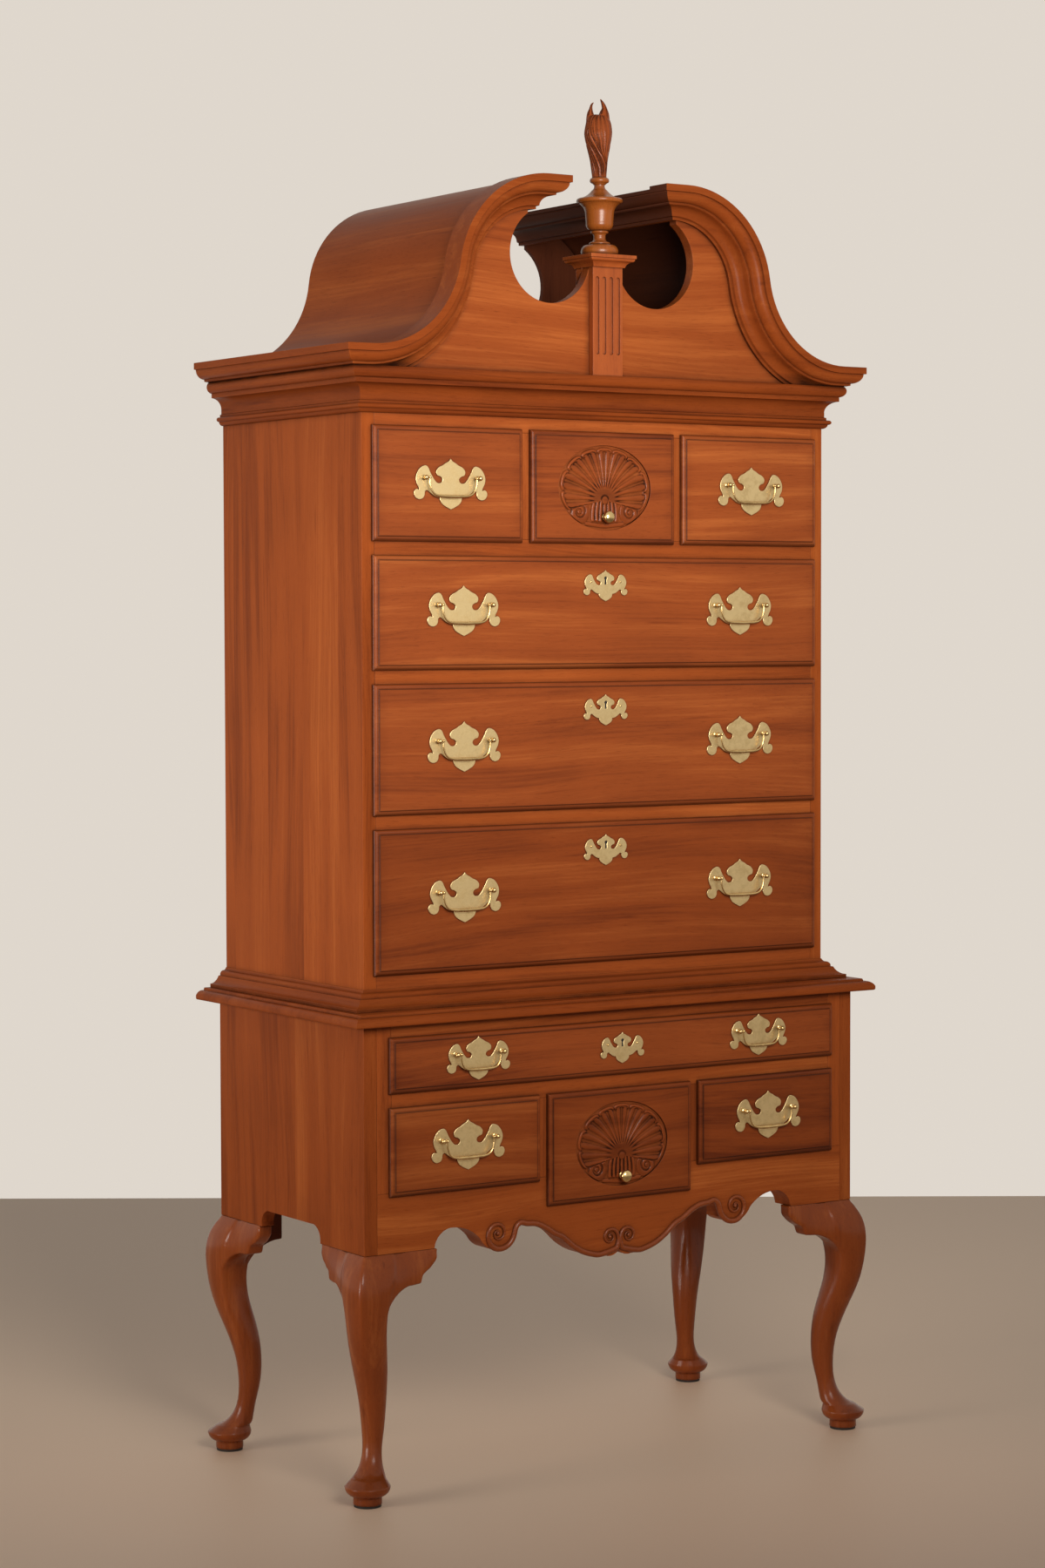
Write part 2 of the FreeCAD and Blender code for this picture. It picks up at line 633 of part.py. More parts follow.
def plinth():
    """Fluted plinth on the cornice, with its moulded cap."""
    low = at("cornice_top")
    high = at("plinth_top")
    out = at("plinth_out")
    wall = at("tympanum_out")
    half = at("plinth_w") / 2
    shaft = body("plinth_shaft")
    front = sketch(shaft, "plinth_plan", "XY",
                   curves([(-half, -out), (half, -out), (half, -wall), (-half, -wall)]), low)
    pad = shaft.newObject("PartDesign::Pad", "plinth_pad")
    pad.Profile = front
    bind(pad, Length="plinth_top - cornice_top")
    flute = at("flute_w") / 2
    slots = []
    for place in (-1.5, -0.5, 0.5, 1.5):
        x = place * at("flute_pitch")
        bottom = at("crown_z") + at("flute_up") + flute
        top = high - at("flute_down") - flute
        slots += curves([(x - flute, bottom), ((x, bottom - flute), (x + flute, bottom)), (x + flute, top),
                         ((x, top + flute), (x - flute, top))])
    flutes = sketch(shaft, "plinth_flutes", "XZ", slots, out)
    groove = shaft.newObject("PartDesign::Pocket", "plinth_fluting")
    groove.Profile = flutes
    bind(groove, Length="flute_deep")
    doc.recompute()
    if groove.Shape.Volume > 0.999 * pad.Shape.Volume:
        raise RuntimeError("the flutes cut nothing")

    cap_x = at("cap_w") / 2
    cap_front = at("cap_d") / 2 - at("finial_y")
    cap_back = at("cap_d") / 2 + at("finial_y")

    def edge(reach):
        return [(reach - 14, high), ((reach - 11, high + 6), (reach - 6, high + 9)),
                ((reach - 2.5, high + 11), (reach - 2, high + 14)), (reach, high + 14.5), (reach, at("cap_top"))]

    right = edge(cap_x)
    across = extrusion("cap_across", "XZ", curves(right + back_along(flipped(right))), cap_front + cap_back, -cap_front)
    front_edge = flipped(edge(cap_front))
    back_edge = edge(cap_back)
    along = extrusion("cap_along", "YZ", curves(front_edge + back_along(back_edge)), 2 * cap_x, -cap_x)
    block = box("plinth_block", "-plinth_w / 2", "tympanum_t - tympanum_out", "plinth_top - plinth_block_h",
                "plinth_w", "cap_d - plinth_out - cap_front_over - tympanum_t + tympanum_out - (cap_w - plinth_w) / 2",
                "plinth_block_h")
    node("finial_plinth", [shaft, block, common("plinth_cap", across, along)])


def finial():
    """Turned covered urn, and the flame that stands on it."""
    stretch = at("urn_h") / 131
    widen = at("finial_base_r") / 31.5
    # (radius, height) for an urn 131 tall: foot, stem with its ring, bowl, lid, neck and collar
    steps = [
        (0, 0), (28, 0), ((31.5, 9), (26, 18)), (17, 19.5), ((18, 21.5), (16, 23.5)), ((11.5, 26), (10.2, 32)),
        ((10.6, 36), (12.5, 38)), ((15, 40.5), (12.5, 43)), ((20.6, 47), (23, 56)), (24.4, 72),
        ((27.6, 82), (35, 88.5)), ((39, 92.5), (35, 96.5)), ((21.5, 102), (13, 110)), ((9.6, 114), (9, 119)),
        (10, 119.5), ((12, 121.5), (15, 123)), ((16.4, 126.5), (13.2, 131)), (0, 131),
    ]

    def placed(point):
        return (point[0] * widen, point[1] * stretch)

    outline = [tuple(placed(point) for point in step) if isinstance(step[0], tuple) else placed(step)
               for step in steps]
    urn = turning("urn", outline)
    bind(urn, Placement__Base__y="finial_y", Placement__Base__z="cap_top")
    node("finial_urn", [urn])

    # spiral flame: fluted sections that swell, turn as they rise and draw in to the tip
    start = at("urn_top")
    tall = at("finial_h") - at("urn_h")
    flutes = 6
    wires = []
    for share, width, lean in [
        (0, 0.5, 0), (0.04, 0.56, -1), (0.15, 0.63, -1.5), (0.26, 0.7, -2), (0.37, 0.83, -3.5), (0.48, 0.94, -4.5),
        (0.57, 1, -4.5), (0.66, 0.95, -4.5), (0.76, 0.82, -4), (0.85, 0.66, -3), (0.92, 0.48, -2),
        (0.97, 0.28, -1), (1, 0.12, -1),
    ]:
        corners = []
        for index in range(2 * flutes):
            angle = math.radians(at("flame_turn") * share + 180 * index / flutes)
            radius = at("flame_r") * width * (1 if index % 2 else 0.8)
            corners.append(Vector(lean + radius * math.cos(angle), at("finial_y") + radius * math.sin(angle),
                                  start + share * tall))
        wires.append(Part.makePolygon(corners + corners[:1]))
    node("finial_flame", [feature("flame", Part.makeLoft(wires, True, True))])


# ---------------------------------------------------------------- cabriole legs


def ring(diagonal, reach, bulge, z):
    """A closed section with four arrises on the diagonals; bulge runs from 1 (square) to a circle."""
    middle = diagonal / math.sqrt(2)
    corner = reach / math.sqrt(2)
    side = corner * bulge
    arcs = []
    for turn in range(4):
        spin = Rotation(Vector(0, 0, 1), 90 * turn)
        points = [spin.multVec(Vector(*point, 0)) + Vector(middle, middle, z)
                  for point in ((corner, -corner), (side, 0), (corner, corner))]
        arcs.append(Part.Arc(*points).toShape())
    return Part.Wire(arcs)


def leg_shape():
    """A cabriole leg at the back right, about the centre of its foot."""
    pad = at("pad_z")
    free = at("leg_z") - pad
    foot_r = at("foot_r")
    round_section = math.sqrt(2)
    # (share of the height above the pad, outer and inner edge along the diagonal, bulge)
    stations = [
        (1, 12, -66, 1.02), (0.935, 31.5, -58, 1.06), (0.839, 42, -43, 1.11), (0.753, 40.5, -34, 1.16),
        (0.624, 30, -36, 1.27), (0.489, 8, -49.5, 1.36), (0.355, -11, -57, 1.4),
        (0.22, -17.5, -54, round_section), (0.128, -13.5, -46, round_section),
        (0.07, -2, -42, round_section), (0.03, 21, -35, round_section), (0, foot_r, -foot_r, round_section),
    ]
    rings = [ring((outer + inner) / 2, (outer - inner) / 2, bulge, pad + share * free)
             for share, outer, inner, bulge in stations]
    shank = Part.makeLoft(rings[:-1], True, False)
    instep = Part.makeLoft(rings[-2:], True, True)
    disc_r = at("disc_r")
    disc_z = at("disc_z")
    sole = curves([(0, pad), (foot_r, pad), ((foot_r - 3.5, disc_z + 6), (disc_r, disc_z)), (disc_r, at("glide_t")),
                   (0, at("glide_t"))])
    outline = Part.Wire([curve.toShape() for curve in sole])
    outline.Placement = Placement(Vector(), PLANES["XZ"])
    turned = Part.Face(outline).revolve(Vector(), Vector(0, 0, 1), 360)
    return shank.multiFuse([instep, turned])


def largest(shape):
    """The largest solid of a shape."""
    return max(shape.Solids, key=lambda solid: solid.Volume)


def knee_block_shape(tip, outline, leg):
    """The bracket beside the back right knee, along X: sawn to an outline, fitted to the leg and bowed."""
    foot = at("leg_z")
    face = at("lower_back")
    thick = at("block_t")
    inside = at("foot_x") - 20

    def bow(x, *outs):
        edge, high, knee, low, end = (face + out for out in outs)
        path = [(face - thick, foot), (edge, foot), ((high, foot - 22), (knee, foot - 56)),
                ((low, foot - 92), (end, foot - 126)), (face - thick, foot - 126)]
        wire = Part.Wire([curve.toShape() for curve in curves(path)])
        wire.Placement = Placement(Vector(x, 0, 0), PLANES["YZ"])
        return wire

    # the last section lies inside the leg, just under the face of the knee
    bar = Part.makeLoft([bow(tip - 1, 1, 3, 3.5, 3, 2), bow((tip + inside) / 2 + 6, -1, 6, 10, 8.5, 6),
                         bow(inside, -4.5, 12.7, 21.5, 19, 14.6)], True, True)
    wire = Part.Wire([curve.toShape() for curve in curves(outline)])
    wire.Placement = Placement(Vector(0, face - thick - 1, 0), PLANES["XZ"])
    sawn = largest(Part.Face(wire).extrude(Vector(0, thick + 40, 0)).cut(leg))
    return largest(sawn.common(bar))


def eared_block(leg):
    """A knee bracket with a scrolled ear."""
    foot = at("leg_z")
    tip = at("lower_half") - at("block_w")
    inside = at("foot_x") - 21
    outline = [
        (inside, foot), (tip, foot), ((tip - 2, foot - 10), (tip + 4, foot - 22)),
        ((tip + 14, foot - 31), (tip + 28, foot - 39)), (tip + 33, foot - 54), (tip + 54, foot - 55),
        ((tip + 91, foot - 73), (inside, foot - 118)),
    ]
    return knee_block_shape(tip, outline, leg)


def plain_block(leg):
    """A knee bracket for the back of the case, with a straight end."""
    foot = at("leg_z")
    tip = at("lower_half") - at("back_block_w")
    inside = at("foot_x") - 21
    outline = [
        (inside, foot), (tip, foot), (tip, foot - 50),
        ((tip + 52, foot - 68), (inside, foot - 118)),
    ]
    return knee_block_shape(tip, outline, leg)


def to_front(shape):
    """The mirror image of a back right piece at the front."""
    middle = (at("foot_back") + at("foot_front")) / 2
    return shape.mirror(Vector(0, middle, 0), Vector(0, 1, 0))


def legs():
    """Four cabriole legs with pad feet, and the two brackets beside each knee."""
    back_leg = leg_shape()
    back_leg.translate(Vector(at("foot_x"), at("foot_back"), 0))
    along_x = eared_block(back_leg)
    corner = Vector(at("lower_half"), at("lower_back"), 0)
    along_y = along_x.mirror(corner, Vector(1, -1, 0))
    rights = [feature("knee_block_back_right", plain_block(back_leg)),
              feature("knee_block_front_right", to_front(along_x))]
    for label, shape in (("leg", back_leg), ("side_knee_block", along_y)):
        rights.append(feature(f"{label}_back_right", shape))
        rights.append(feature(f"{label}_front_right", to_front(shape)))
    node("cabriole_legs", rights + [mirrored(f"{piece.Label}_left", piece, (1, 0, 0)) for piece in rights])

    glides = []
    for place in ("back", "front"):
        glide = doc.addObject("Part::Cylinder", f"glide_{place}_right")
        bind(glide, Radius="disc_r - 1", Height="glide_t", Placement__Base__x="foot_x",
             Placement__Base__y=f"foot_{place}")
        glides.append(glide)
    node("foot_glides", glides + [mirrored(f"{piece.Label}_left", piece, (1, 0, 0)) for piece in glides])


# ---------------------------------------------------------------- drawers


def drawer(name, x, half, low, high, face):
    """One drawer: lipped front and open box.  x, half, low and high are of its opening."""
    lip_x = f"({x}) - ({half}) - lip_over"
    lip_z = f"({low}) - lip_over"
    lip_w = f"2 * ({half}) + 2 * lip_over"
    lip_h = f"({high}) - ({low}) + 2 * lip_over"
    rim = box(f"{name}_rim", lip_x, f"{face} - lip_t + lip_step", lip_z, lip_w, "lip_t - lip_step", lip_h)
    doc.recompute()
    edges = []
    front_y = rim.Shape.BoundBox.YMin
    for index, edge in enumerate(rim.Shape.Edges, start=1):
        if edge.BoundBox.YMax - front_y < 0.01:
            edges.append((index, at("lip_t") - at("lip_step") - 2, at("lip_t") - at("lip_step") - 2))
    rounded = doc.addObject("Part::Fillet", f"{name}_lip")
    rounded.Base = rim
    rounded.Edges = edges
    field = box(f"{name}_field", f"{lip_x} + lip_edge", f"{face} - lip_t", f"{lip_z} + lip_edge",
                f"{lip_w} - 2 * lip_edge", "lip_t", f"{lip_h} - 2 * lip_edge")
    inset = box(f"{name}_inset", f"({x}) - ({half}) + play", face, f"{low}", f"2 * ({half}) - 2 * play",
                "inset_t", f"({high}) - ({low}) - play")
    front = fuse(f"{name}_panel", [rounded, field, inset])
    if name.endswith("_shell"):
        doc.recompute()
        bounds = front.Shape.BoundBox
        height = (bounds.ZMin + bounds.ZMax) / 2
        oval = Part.Ellipse(Vector(0, height, 0), at("shell_w") / 2, at("shell_h") / 2)
        hollow = extrusion(f"{name}_oval", "XZ", [oval], "shell_deep", bounds.YMin)
        front = cut(f"{name}_carved", front, hollow)
    node(f"{name}_front", [front])

    left = f"({x}) - ({half}) + play"
    width = f"2 * ({half}) - 2 * play"
    start = f"{face} + inset_t"
    tall = f"({high}) - ({low}) - box_drop"
    inner_w = f"{width} - 2 * box_side_t"
    pieces = [
        box(f"{name}_side_left", left, start, low, "box_side_t", "box_len", tall),
        box(f"{name}_side_right", f"{left} + {width} - box_side_t", start, low, "box_side_t", "box_len", tall),
        box(f"{name}_back", f"{left} + box_side_t", f"{start} + box_len - box_side_t", low, inner_w, "box_side_t", tall),
        box(f"{name}_bottom", f"{left} + box_side_t", start, f"{low} + box_bottom_up", inner_w,
            "box_len - box_side_t", "box_bottom_t"),
    ]
    node(f"{name}_box", pieces)


# ---------------------------------------------------------------- brasses


def plate_outline(width):
    """Bat-wing plate, symmetrical about x = 0, drawn for a plate 90 wide and scaled."""
    right = [
        (0, 26.2), (11.4, 18.5), ((15.6, 13), (8.8, 8)), ((9.5, 3), (14.9, 4.4)), (23.6, 12.8), (26.3, 17.1),
        ((33, 18.3), (39, 12.8)), ((40.2, 5), (36.8, -2.6)), ((39.4, -5.2), (44.9, -9)),
        ((39.6, -15.3), (32.4, -13.8)), (27.1, -6.8), ((19, -7.8), (12.8, -13.1)), (11.7, -17.3),
        ((7, -23), (0, -26.2)),
    ]
    scale = width / 90

    def scaled(step):
        if isinstance(step[0], tuple):
            return tuple((x * scale, y * scale) for x, y in step)
        return (step[0] * scale, step[1] * scale)

    right = [scaled(step) for step in right]
    return right + back_along(flipped(right))[1:]


def plate(label, width, x, z, face):
    """A flat cast plate on a drawer front."""
    back = face - at("lip_t")
    moved = []
    for step in plate_outline(width):
        if isinstance(step[0], tuple):
            moved.append(tuple((px + x, pz + z) for px, pz in step))
        else:
            moved.append((step[0] + x, step[1] + z))
    return extrusion(label, "XZ", curves(moved), "plate_t", back - at("plate_t"))


def pull(name, index, width, x, z, face):
    """Plate, two bored posts and the bail that swings in them."""
    front = face - at("lip_t") - at("plate_t")
    post_x = width * at("post_share")
    pivot_z = z + width * at("post_up_share")
    pivot_y = front - at("pivot_out")
    pieces = [plate(f"{name}_plate{index}", width, x, z, face)]
    for side in (-1, 1):
        post = Part.makeCylinder(at("post_r"), at("post_len"), Vector(x + side * post_x, front, pivot_z),
                                 Vector(0, -1, 0))
        reach = at("post_r") + 2
        bore = Part.makeCylinder(at("pin_r") + at("pin_fit"), 2 * reach,
                                 Vector(x + side * post_x - reach, pivot_y, pivot_z), Vector(1, 0, 0))
        pieces.append(feature(f"{name}_post{index}{'lr'[side > 0]}", post.cut(bore)))

    arm = post_x - at("post_r") - at("bail_r") - 0.6
    drop = at("bail_drop") * width / at("plate_w")
    bend = at("bail_bend") * width / at("plate_w")
    tube = at("bail_r")
    base = Part.makeCylinder(tube, 2 * (arm - bend), Vector(bend - arm, 0, -drop), Vector(1, 0, 0))
    parts = []
    for side in (-1, 1):
        parts.append(Part.makeCylinder(tube, drop - bend + tube, Vector(side * arm, 0, bend - drop)))
        quarter = Part.makeTorus(bend, tube, Vector(), Vector(0, 0, 1), -180, 180, 90)
        turn = Rotation(Vector(1, 0, 0), -90) if side > 0 else Rotation(Vector(0, 1, -1), 180)
        quarter.Placement = Placement(Vector(side * (arm - bend), 0, bend - drop), turn)
        parts.append(quarter)
    handle = base.fuse(parts)
    pin_len = at("post_r") * 2 + at("bail_r") + 1
    for side in (-1, 1):
        handle = handle.fuse(Part.makeCylinder(at("pin_r"), pin_len, Vector(side * arm, 0, 0), Vector(side, 0, 0)))
    bail = feature(f"{name}_handle{index}", handle)
    bail.Placement = Placement(Vector(x, pivot_y, pivot_z), Rotation())
    label = f"{name}_bail" if index == "" else f"{name}_bail_{index}"
    node(label, [bail])
    return pieces


def knob(name, z, face):
    """A turned brass knob on a stem."""
    deep = at("shell_deep")
    out = at("knob_out")
    stem = at("stem_r")
    rim = at("knob_r")
    rise = at("knob_dome")
    dome_r = ((rim - 1) ** 2 + rise ** 2) / (2 * rise)
    half_turn = math.asin((rim - 1) / dome_r) / 2
    crest = (dome_r * math.sin(half_turn), out - dome_r + dome_r * math.cos(half_turn))
    piece = turning(f"{name}_brass", [(0, -deep), (stem + 2, -deep), (stem, 3), ((stem + 1, out - 11), (rim, out - 7)),
                                      (rim, out - rise - 1), (rim - 1, out - rise), (crest, (0, out))])
    piece.Placement = Placement(Vector(0, face - at("lip_t"), z), Rotation(Vector(1, 0, 0), 90))
    node(f"{name}_knob", [piece])


def drawers():
    """All ten drawers with their brasses."""
    upper = 0
    lower = -at("lower_front")
    upper_rows = [
        ("upper_deep", "0", "open_half", "deep_z", "deep_h"),
        ("upper_middle", "0", "open_half", "middle_z", "middle_h"),
        ("upper_shallow", "0", "open_half", "shallow_z", "shallow_h"),
    ]
    small_x = "(open_half + small_open_in) / 2"
    small_half = "(open_half - small_open_in) / 2"
    low_x = "(low_open_half + small_open_in) / 2"
    low_half = "(low_open_half - small_open_in) / 2"
    for name, x, half, low, tall in upper_rows:
        drawer(name, x, half, f"{low} + lip_over", f"{low} + {tall} - lip_over", "0")
        middle = at(low) + at(tall) / 2 + at("plate_up")
        pieces = pull(name, "left", at("plate_w"), -at("plate_x"), middle, upper)
        pieces += pull(name, "right", at("plate_w"), at("plate_x"), middle, upper)
        pieces.append(plate(f"{name}_shield", at("shield_w"), 0, at(low) + at(tall) - at("shield_down"), upper))
        node(f"{name}_brasses", pieces)
    for side, sign in (("left", -1), ("right", 1)):
        name = f"upper_{side}"
        drawer(name, f"{sign} * {small_x}", small_half, "small_z + lip_over", "small_top - lip_over", "0")
        x = sign * (at("open_half") + at("small_open_in")) / 2
        z = at("small_z") + at("small_h") / 2
        node(f"{name}_brasses", pull(name, "", at("plate_w"), x, z, upper))
    drawer("upper_shell", "0", "mid_open_half", "small_z + lip_over", "small_top - lip_over", "0")
    knob("upper_shell", at("small_z") + at("small_h") / 2 - at("knob_down"), upper)

    drawer("lower_wide", "0", "low_open_half", "low_wide_z + lip_over", "low_wide_z + low_wide_h - lip_over",
           "-lower_front")
    z = at("low_wide_z") + at("low_wide_h") / 2
    pieces = pull("lower_wide", "left", at("small_plate_w"), -at("low_plate_x"), z + at("plate_up"), lower)
    pieces += pull("lower_wide", "right", at("small_plate_w"), at("low_plate_x"), z + at("plate_up"), lower)
    pieces.append(plate("lower_wide_shield", at("shield_w"), 0, z, lower))
    node("lower_wide_brasses", pieces)
    for side, sign in (("left", -1), ("right", 1)):
        name = f"lower_{side}"
        drawer(name, f"{sign} * {low_x}", low_half, "low_side_z + lip_over", "low_row_top - lip_over", "-lower_front")
        x = sign * (at("low_open_half") + at("small_open_in")) / 2
        z = at("low_side_z") + at("low_side_h") / 2 + at("plate_up")
        node(f"{name}_brasses", pull(name, "", at("plate_w"), x, z, lower))
    drawer("lower_shell", "0", "mid_open_half", "low_mid_z + lip_over", "low_row_top - lip_over", "-lower_front")
    knob("lower_shell", at("low_mid_z") + at("low_mid_h") / 2 - at("low_knob_down"), lower)


# ---------------------------------------------------------------- build, check and write

upper_case()
bonnet()
lower_case()
lower_top()
mouldings()
swan_necks()
plinth()
finial()
legs()
drawers()
doc.recompute()

for thing in doc.Objects:
    if "Invalid" in thing.State or "Error" in thing.State:
        raise RuntimeError(f"{thing.Label} failed: {thing.State}")
os.makedirs("parts", exist_ok=True)
for group in NODES:
    shape = group.Shape
    if shape.isNull() or not shape.isValid() or not shape.Solids:
        raise RuntimeError(f"{group.Label} has no valid solid")
    shape.exportStep(f"parts/{group.Label}.step")
whole = Part.makeCompound([group.Shape for group in NODES]).BoundBox
print(len(NODES), "nodes;", "x", round(whole.XMin, 2), round(whole.XMax, 2), "y", round(whole.YMin, 2),
      round(whole.YMax, 2), "z", round(whole.ZMin, 2), round(whole.ZMax, 2))
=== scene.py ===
# %% [markdown]
# # A bonnet-top high chest of drawers
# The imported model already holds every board, moulding and brass at its real size, in metres,
# with +Z up and the drawers opening towards -Y.  This lesson dresses it: boards get softened
# arrises and a grain that runs the right way, and what a carver, a turner or a brass founder
# would have worked is modelled here and stands in for the plain solid.

# %% Load the model
import json
import math
import random

import bmesh
import bpy
import numpy as np
from mathutils import Matrix, Vector
from mathutils.bvhtree import BVHTree

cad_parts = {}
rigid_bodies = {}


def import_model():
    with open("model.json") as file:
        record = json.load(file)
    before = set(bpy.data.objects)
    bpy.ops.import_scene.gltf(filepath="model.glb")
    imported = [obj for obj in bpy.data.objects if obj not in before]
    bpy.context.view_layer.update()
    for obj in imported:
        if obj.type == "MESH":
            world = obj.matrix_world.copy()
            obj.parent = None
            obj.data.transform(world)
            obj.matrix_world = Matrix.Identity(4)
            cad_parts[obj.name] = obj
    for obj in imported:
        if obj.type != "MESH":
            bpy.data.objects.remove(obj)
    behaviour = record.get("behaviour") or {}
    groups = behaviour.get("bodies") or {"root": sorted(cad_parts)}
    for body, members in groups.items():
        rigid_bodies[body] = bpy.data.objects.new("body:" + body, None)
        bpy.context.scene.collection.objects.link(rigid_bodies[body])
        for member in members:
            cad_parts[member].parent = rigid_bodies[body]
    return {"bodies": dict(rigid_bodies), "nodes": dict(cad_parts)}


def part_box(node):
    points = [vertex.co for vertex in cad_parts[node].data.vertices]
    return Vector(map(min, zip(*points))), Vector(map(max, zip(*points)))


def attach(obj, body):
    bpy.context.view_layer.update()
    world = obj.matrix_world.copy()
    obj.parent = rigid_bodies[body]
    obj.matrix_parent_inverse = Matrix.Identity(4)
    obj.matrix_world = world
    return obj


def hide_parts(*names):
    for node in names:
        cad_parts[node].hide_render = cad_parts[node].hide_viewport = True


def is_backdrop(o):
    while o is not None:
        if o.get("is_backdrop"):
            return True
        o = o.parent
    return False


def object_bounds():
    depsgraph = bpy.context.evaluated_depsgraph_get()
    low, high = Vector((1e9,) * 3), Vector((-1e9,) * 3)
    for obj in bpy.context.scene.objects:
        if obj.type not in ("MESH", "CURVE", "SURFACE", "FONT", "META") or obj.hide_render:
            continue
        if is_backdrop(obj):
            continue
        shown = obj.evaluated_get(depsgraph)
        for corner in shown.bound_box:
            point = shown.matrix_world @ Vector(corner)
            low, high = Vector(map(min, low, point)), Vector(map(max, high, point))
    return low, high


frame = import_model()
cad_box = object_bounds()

# %% [markdown]
# ## Where the eye stands
# The chest is seen from its left front, a little above its middle.  A long lens keeps the
# verticals nearly parallel.  The aim is given as turn, tilt and roll, as a tripod head is set.

# %% Camera
LENS_MM = 79.21
SENSOR_MM = 36
EYE = (-3.3132, -4.9854, 1.4220)
TURN, TILT, ROLL = math.radians(33.336), math.radians(-2.6265), math.radians(-0.144)


def new_object(name, data):
    """A new object in the scene, with its mesh, curve, camera or lamp."""
    thing = bpy.data.objects.new(name, data)
    bpy.context.scene.collection.objects.link(thing)
    return thing


camera_data = bpy.data.cameras.new("camera")
camera_data.lens = LENS_MM
camera_data.sensor_width = SENSOR_MM
camera = new_object("camera", camera_data)
camera.location = EYE
camera.rotation_mode = "QUATERNION"
aim = (Matrix.Rotation(-TURN, 3, "Z") @ Matrix.Rotation(math.pi / 2 + TILT, 3, "X")
       @ Matrix.Rotation(ROLL, 3, "Z"))
camera.rotation_quaternion = aim.to_quaternion()
bpy.context.scene.camera = camera
bpy.context.scene.view_settings.view_transform = "Standard"
print("camera at", EYE, "lens", LENS_MM, "mm")

# %% [markdown]
# ## Nodes in few words
# The backdrop, the wood and the brass are networks of shader nodes.  Made one by one, each
# node takes several lines.  With these helpers a single line makes a node, sets its values
# and links it, so that a recipe can be read as a sum.

# %% Helpers for nodes
def new_group(name, inputs, outputs):
    """A shader node group; returns it with the sockets of its input node and its output node."""
    group = bpy.data.node_groups.new(name, "ShaderNodeTree")
    for label, kind, value in inputs:
        socket = group.interface.new_socket(label, in_out="INPUT", socket_type=kind)
        socket.default_value = value
    for label, kind in outputs:
        group.interface.new_socket(label, in_out="OUTPUT", socket_type=kind)
    return group, group.nodes.new("NodeGroupInput").outputs, group.nodes.new("NodeGroupOutput")


def feed(node, **inputs):
    """Sets or links the inputs of a node.

    An input is named by its label, with _ for a space, or by n and its number.
    """
    for key, value in inputs.items():
        numbered = key[0] == "n" and key[1:].isdigit()
        socket = node.inputs[int(key[1:])] if numbered else node.inputs[key.replace("_", " ")]
        if isinstance(value, bpy.types.NodeSocket):
            node.id_data.links.new(value, socket)
        else:
            socket.default_value = value
    return node


def add_node(group, kind, settings=None, **inputs):
    """A node with settings on itself, and values or links on its inputs."""
    node = group.nodes.new(kind)
    for key, value in (settings or {}).items():
        setattr(node, key, value)
    return feed(node, **inputs)


def by_number(values):
    """Values for the first inputs of a node, in their order."""
    return {f"n{i}": value for i, value in enumerate(values)}


def calculate(group, operation, *values):
    """The result of a math node."""
    return add_node(group, "ShaderNodeMath", {"operation": operation}, **by_number(values)).outputs[0]


def vector_math(group, operation, *values):
    """The vector that a vector math node makes."""
    return add_node(group, "ShaderNodeVectorMath", {"operation": operation}, **by_number(values)).outputs[0]


def blend_colours(group, kind, factor, first, second):
    """The colour that a mix node makes of two."""
    settings = {"data_type": "RGBA", "blend_type": kind}
    return add_node(group, "ShaderNodeMix", settings, n0=factor, n6=first, n7=second).outputs[2]


def remap(group, value, low, high, to_low, to_high):
    """A smooth change from one range to another."""
    settings = {"interpolation_type": "SMOOTHSTEP"}
    values = by_number((value, low, high, to_low, to_high))
    return add_node(group, "ShaderNodeMapRange", settings, **values).outputs[0]


def stored(group, name, output="Vector"):
    """What a piece stores under a name."""
    return add_node(group, "ShaderNodeAttribute", {"attribute_name": name}).outputs[output]


def noise(group, vector, stretch, detail, roughness=0.5, distortion=0.0, scale=1.0):
    """Noise, centred on 0.5, whose three directions can be stretched."""
    if stretch:
        vector = vector_math(group, "MULTIPLY", vector, stretch)
    return add_node(group, "ShaderNodeTexNoise", Vector=vector, Scale=scale, Detail=detail,
                    Roughness=roughness, Distortion=distortion).outputs["Fac"]


def openness(group, distance, **settings):
    """1 where a point lies open, and less where there are surfaces within a distance of it."""
    settings["samples"] = 4
    return add_node(group, "ShaderNodeAmbientOcclusion", settings, Distance=distance).outputs["AO"]


def give_relief(shader, height, strength, distance):
    """Lets the surface of a shader rise and fall with a height."""
    bump = add_node(shader.id_data, "ShaderNodeBump", Height=height, Strength=strength, Distance=distance)
    feed(shader, Normal=bump.outputs["Normal"])


print("helpers for nodes ready")

# %% [markdown]
# ## The floor
# A plain floor reaches a few steps behind the chest; beyond it is the open, pale backdrop.
# One flat face, square to the line of sight, does for it, with a matte finish of one colour.

# %% Floor
FLOOR_BEHIND = 2.55
FLOOR_HALF = 12.0
view_flat = Vector((math.sin(TURN), math.cos(TURN), 0))
view_right = Vector((math.cos(TURN), -math.sin(TURN), 0))
far = view_flat * FLOOR_BEHIND
near = -view_flat * FLOOR_HALF
side = view_right * FLOOR_HALF
floor_mesh = bpy.data.meshes.new("floor")
floor_mesh.from_pydata([near - side, near + side, far + side, far - side], [], [(0, 1, 2, 3)])
floor = new_object("floor", floor_mesh)
floor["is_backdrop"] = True
print("floor reaches", FLOOR_BEHIND, "m behind the chest")

# %% A plain matte floor finish
FLOOR_COLOUR = (0.93, 0.69, 0.49)
FLOOR_ROUGHNESS = 0.55


def new_material(name):
    """A new material, with its node tree and its shader."""
    material = bpy.data.materials.new(name)
    material.use_nodes = True
    tree = material.node_tree
    return material, tree, tree.nodes["Principled BSDF"]


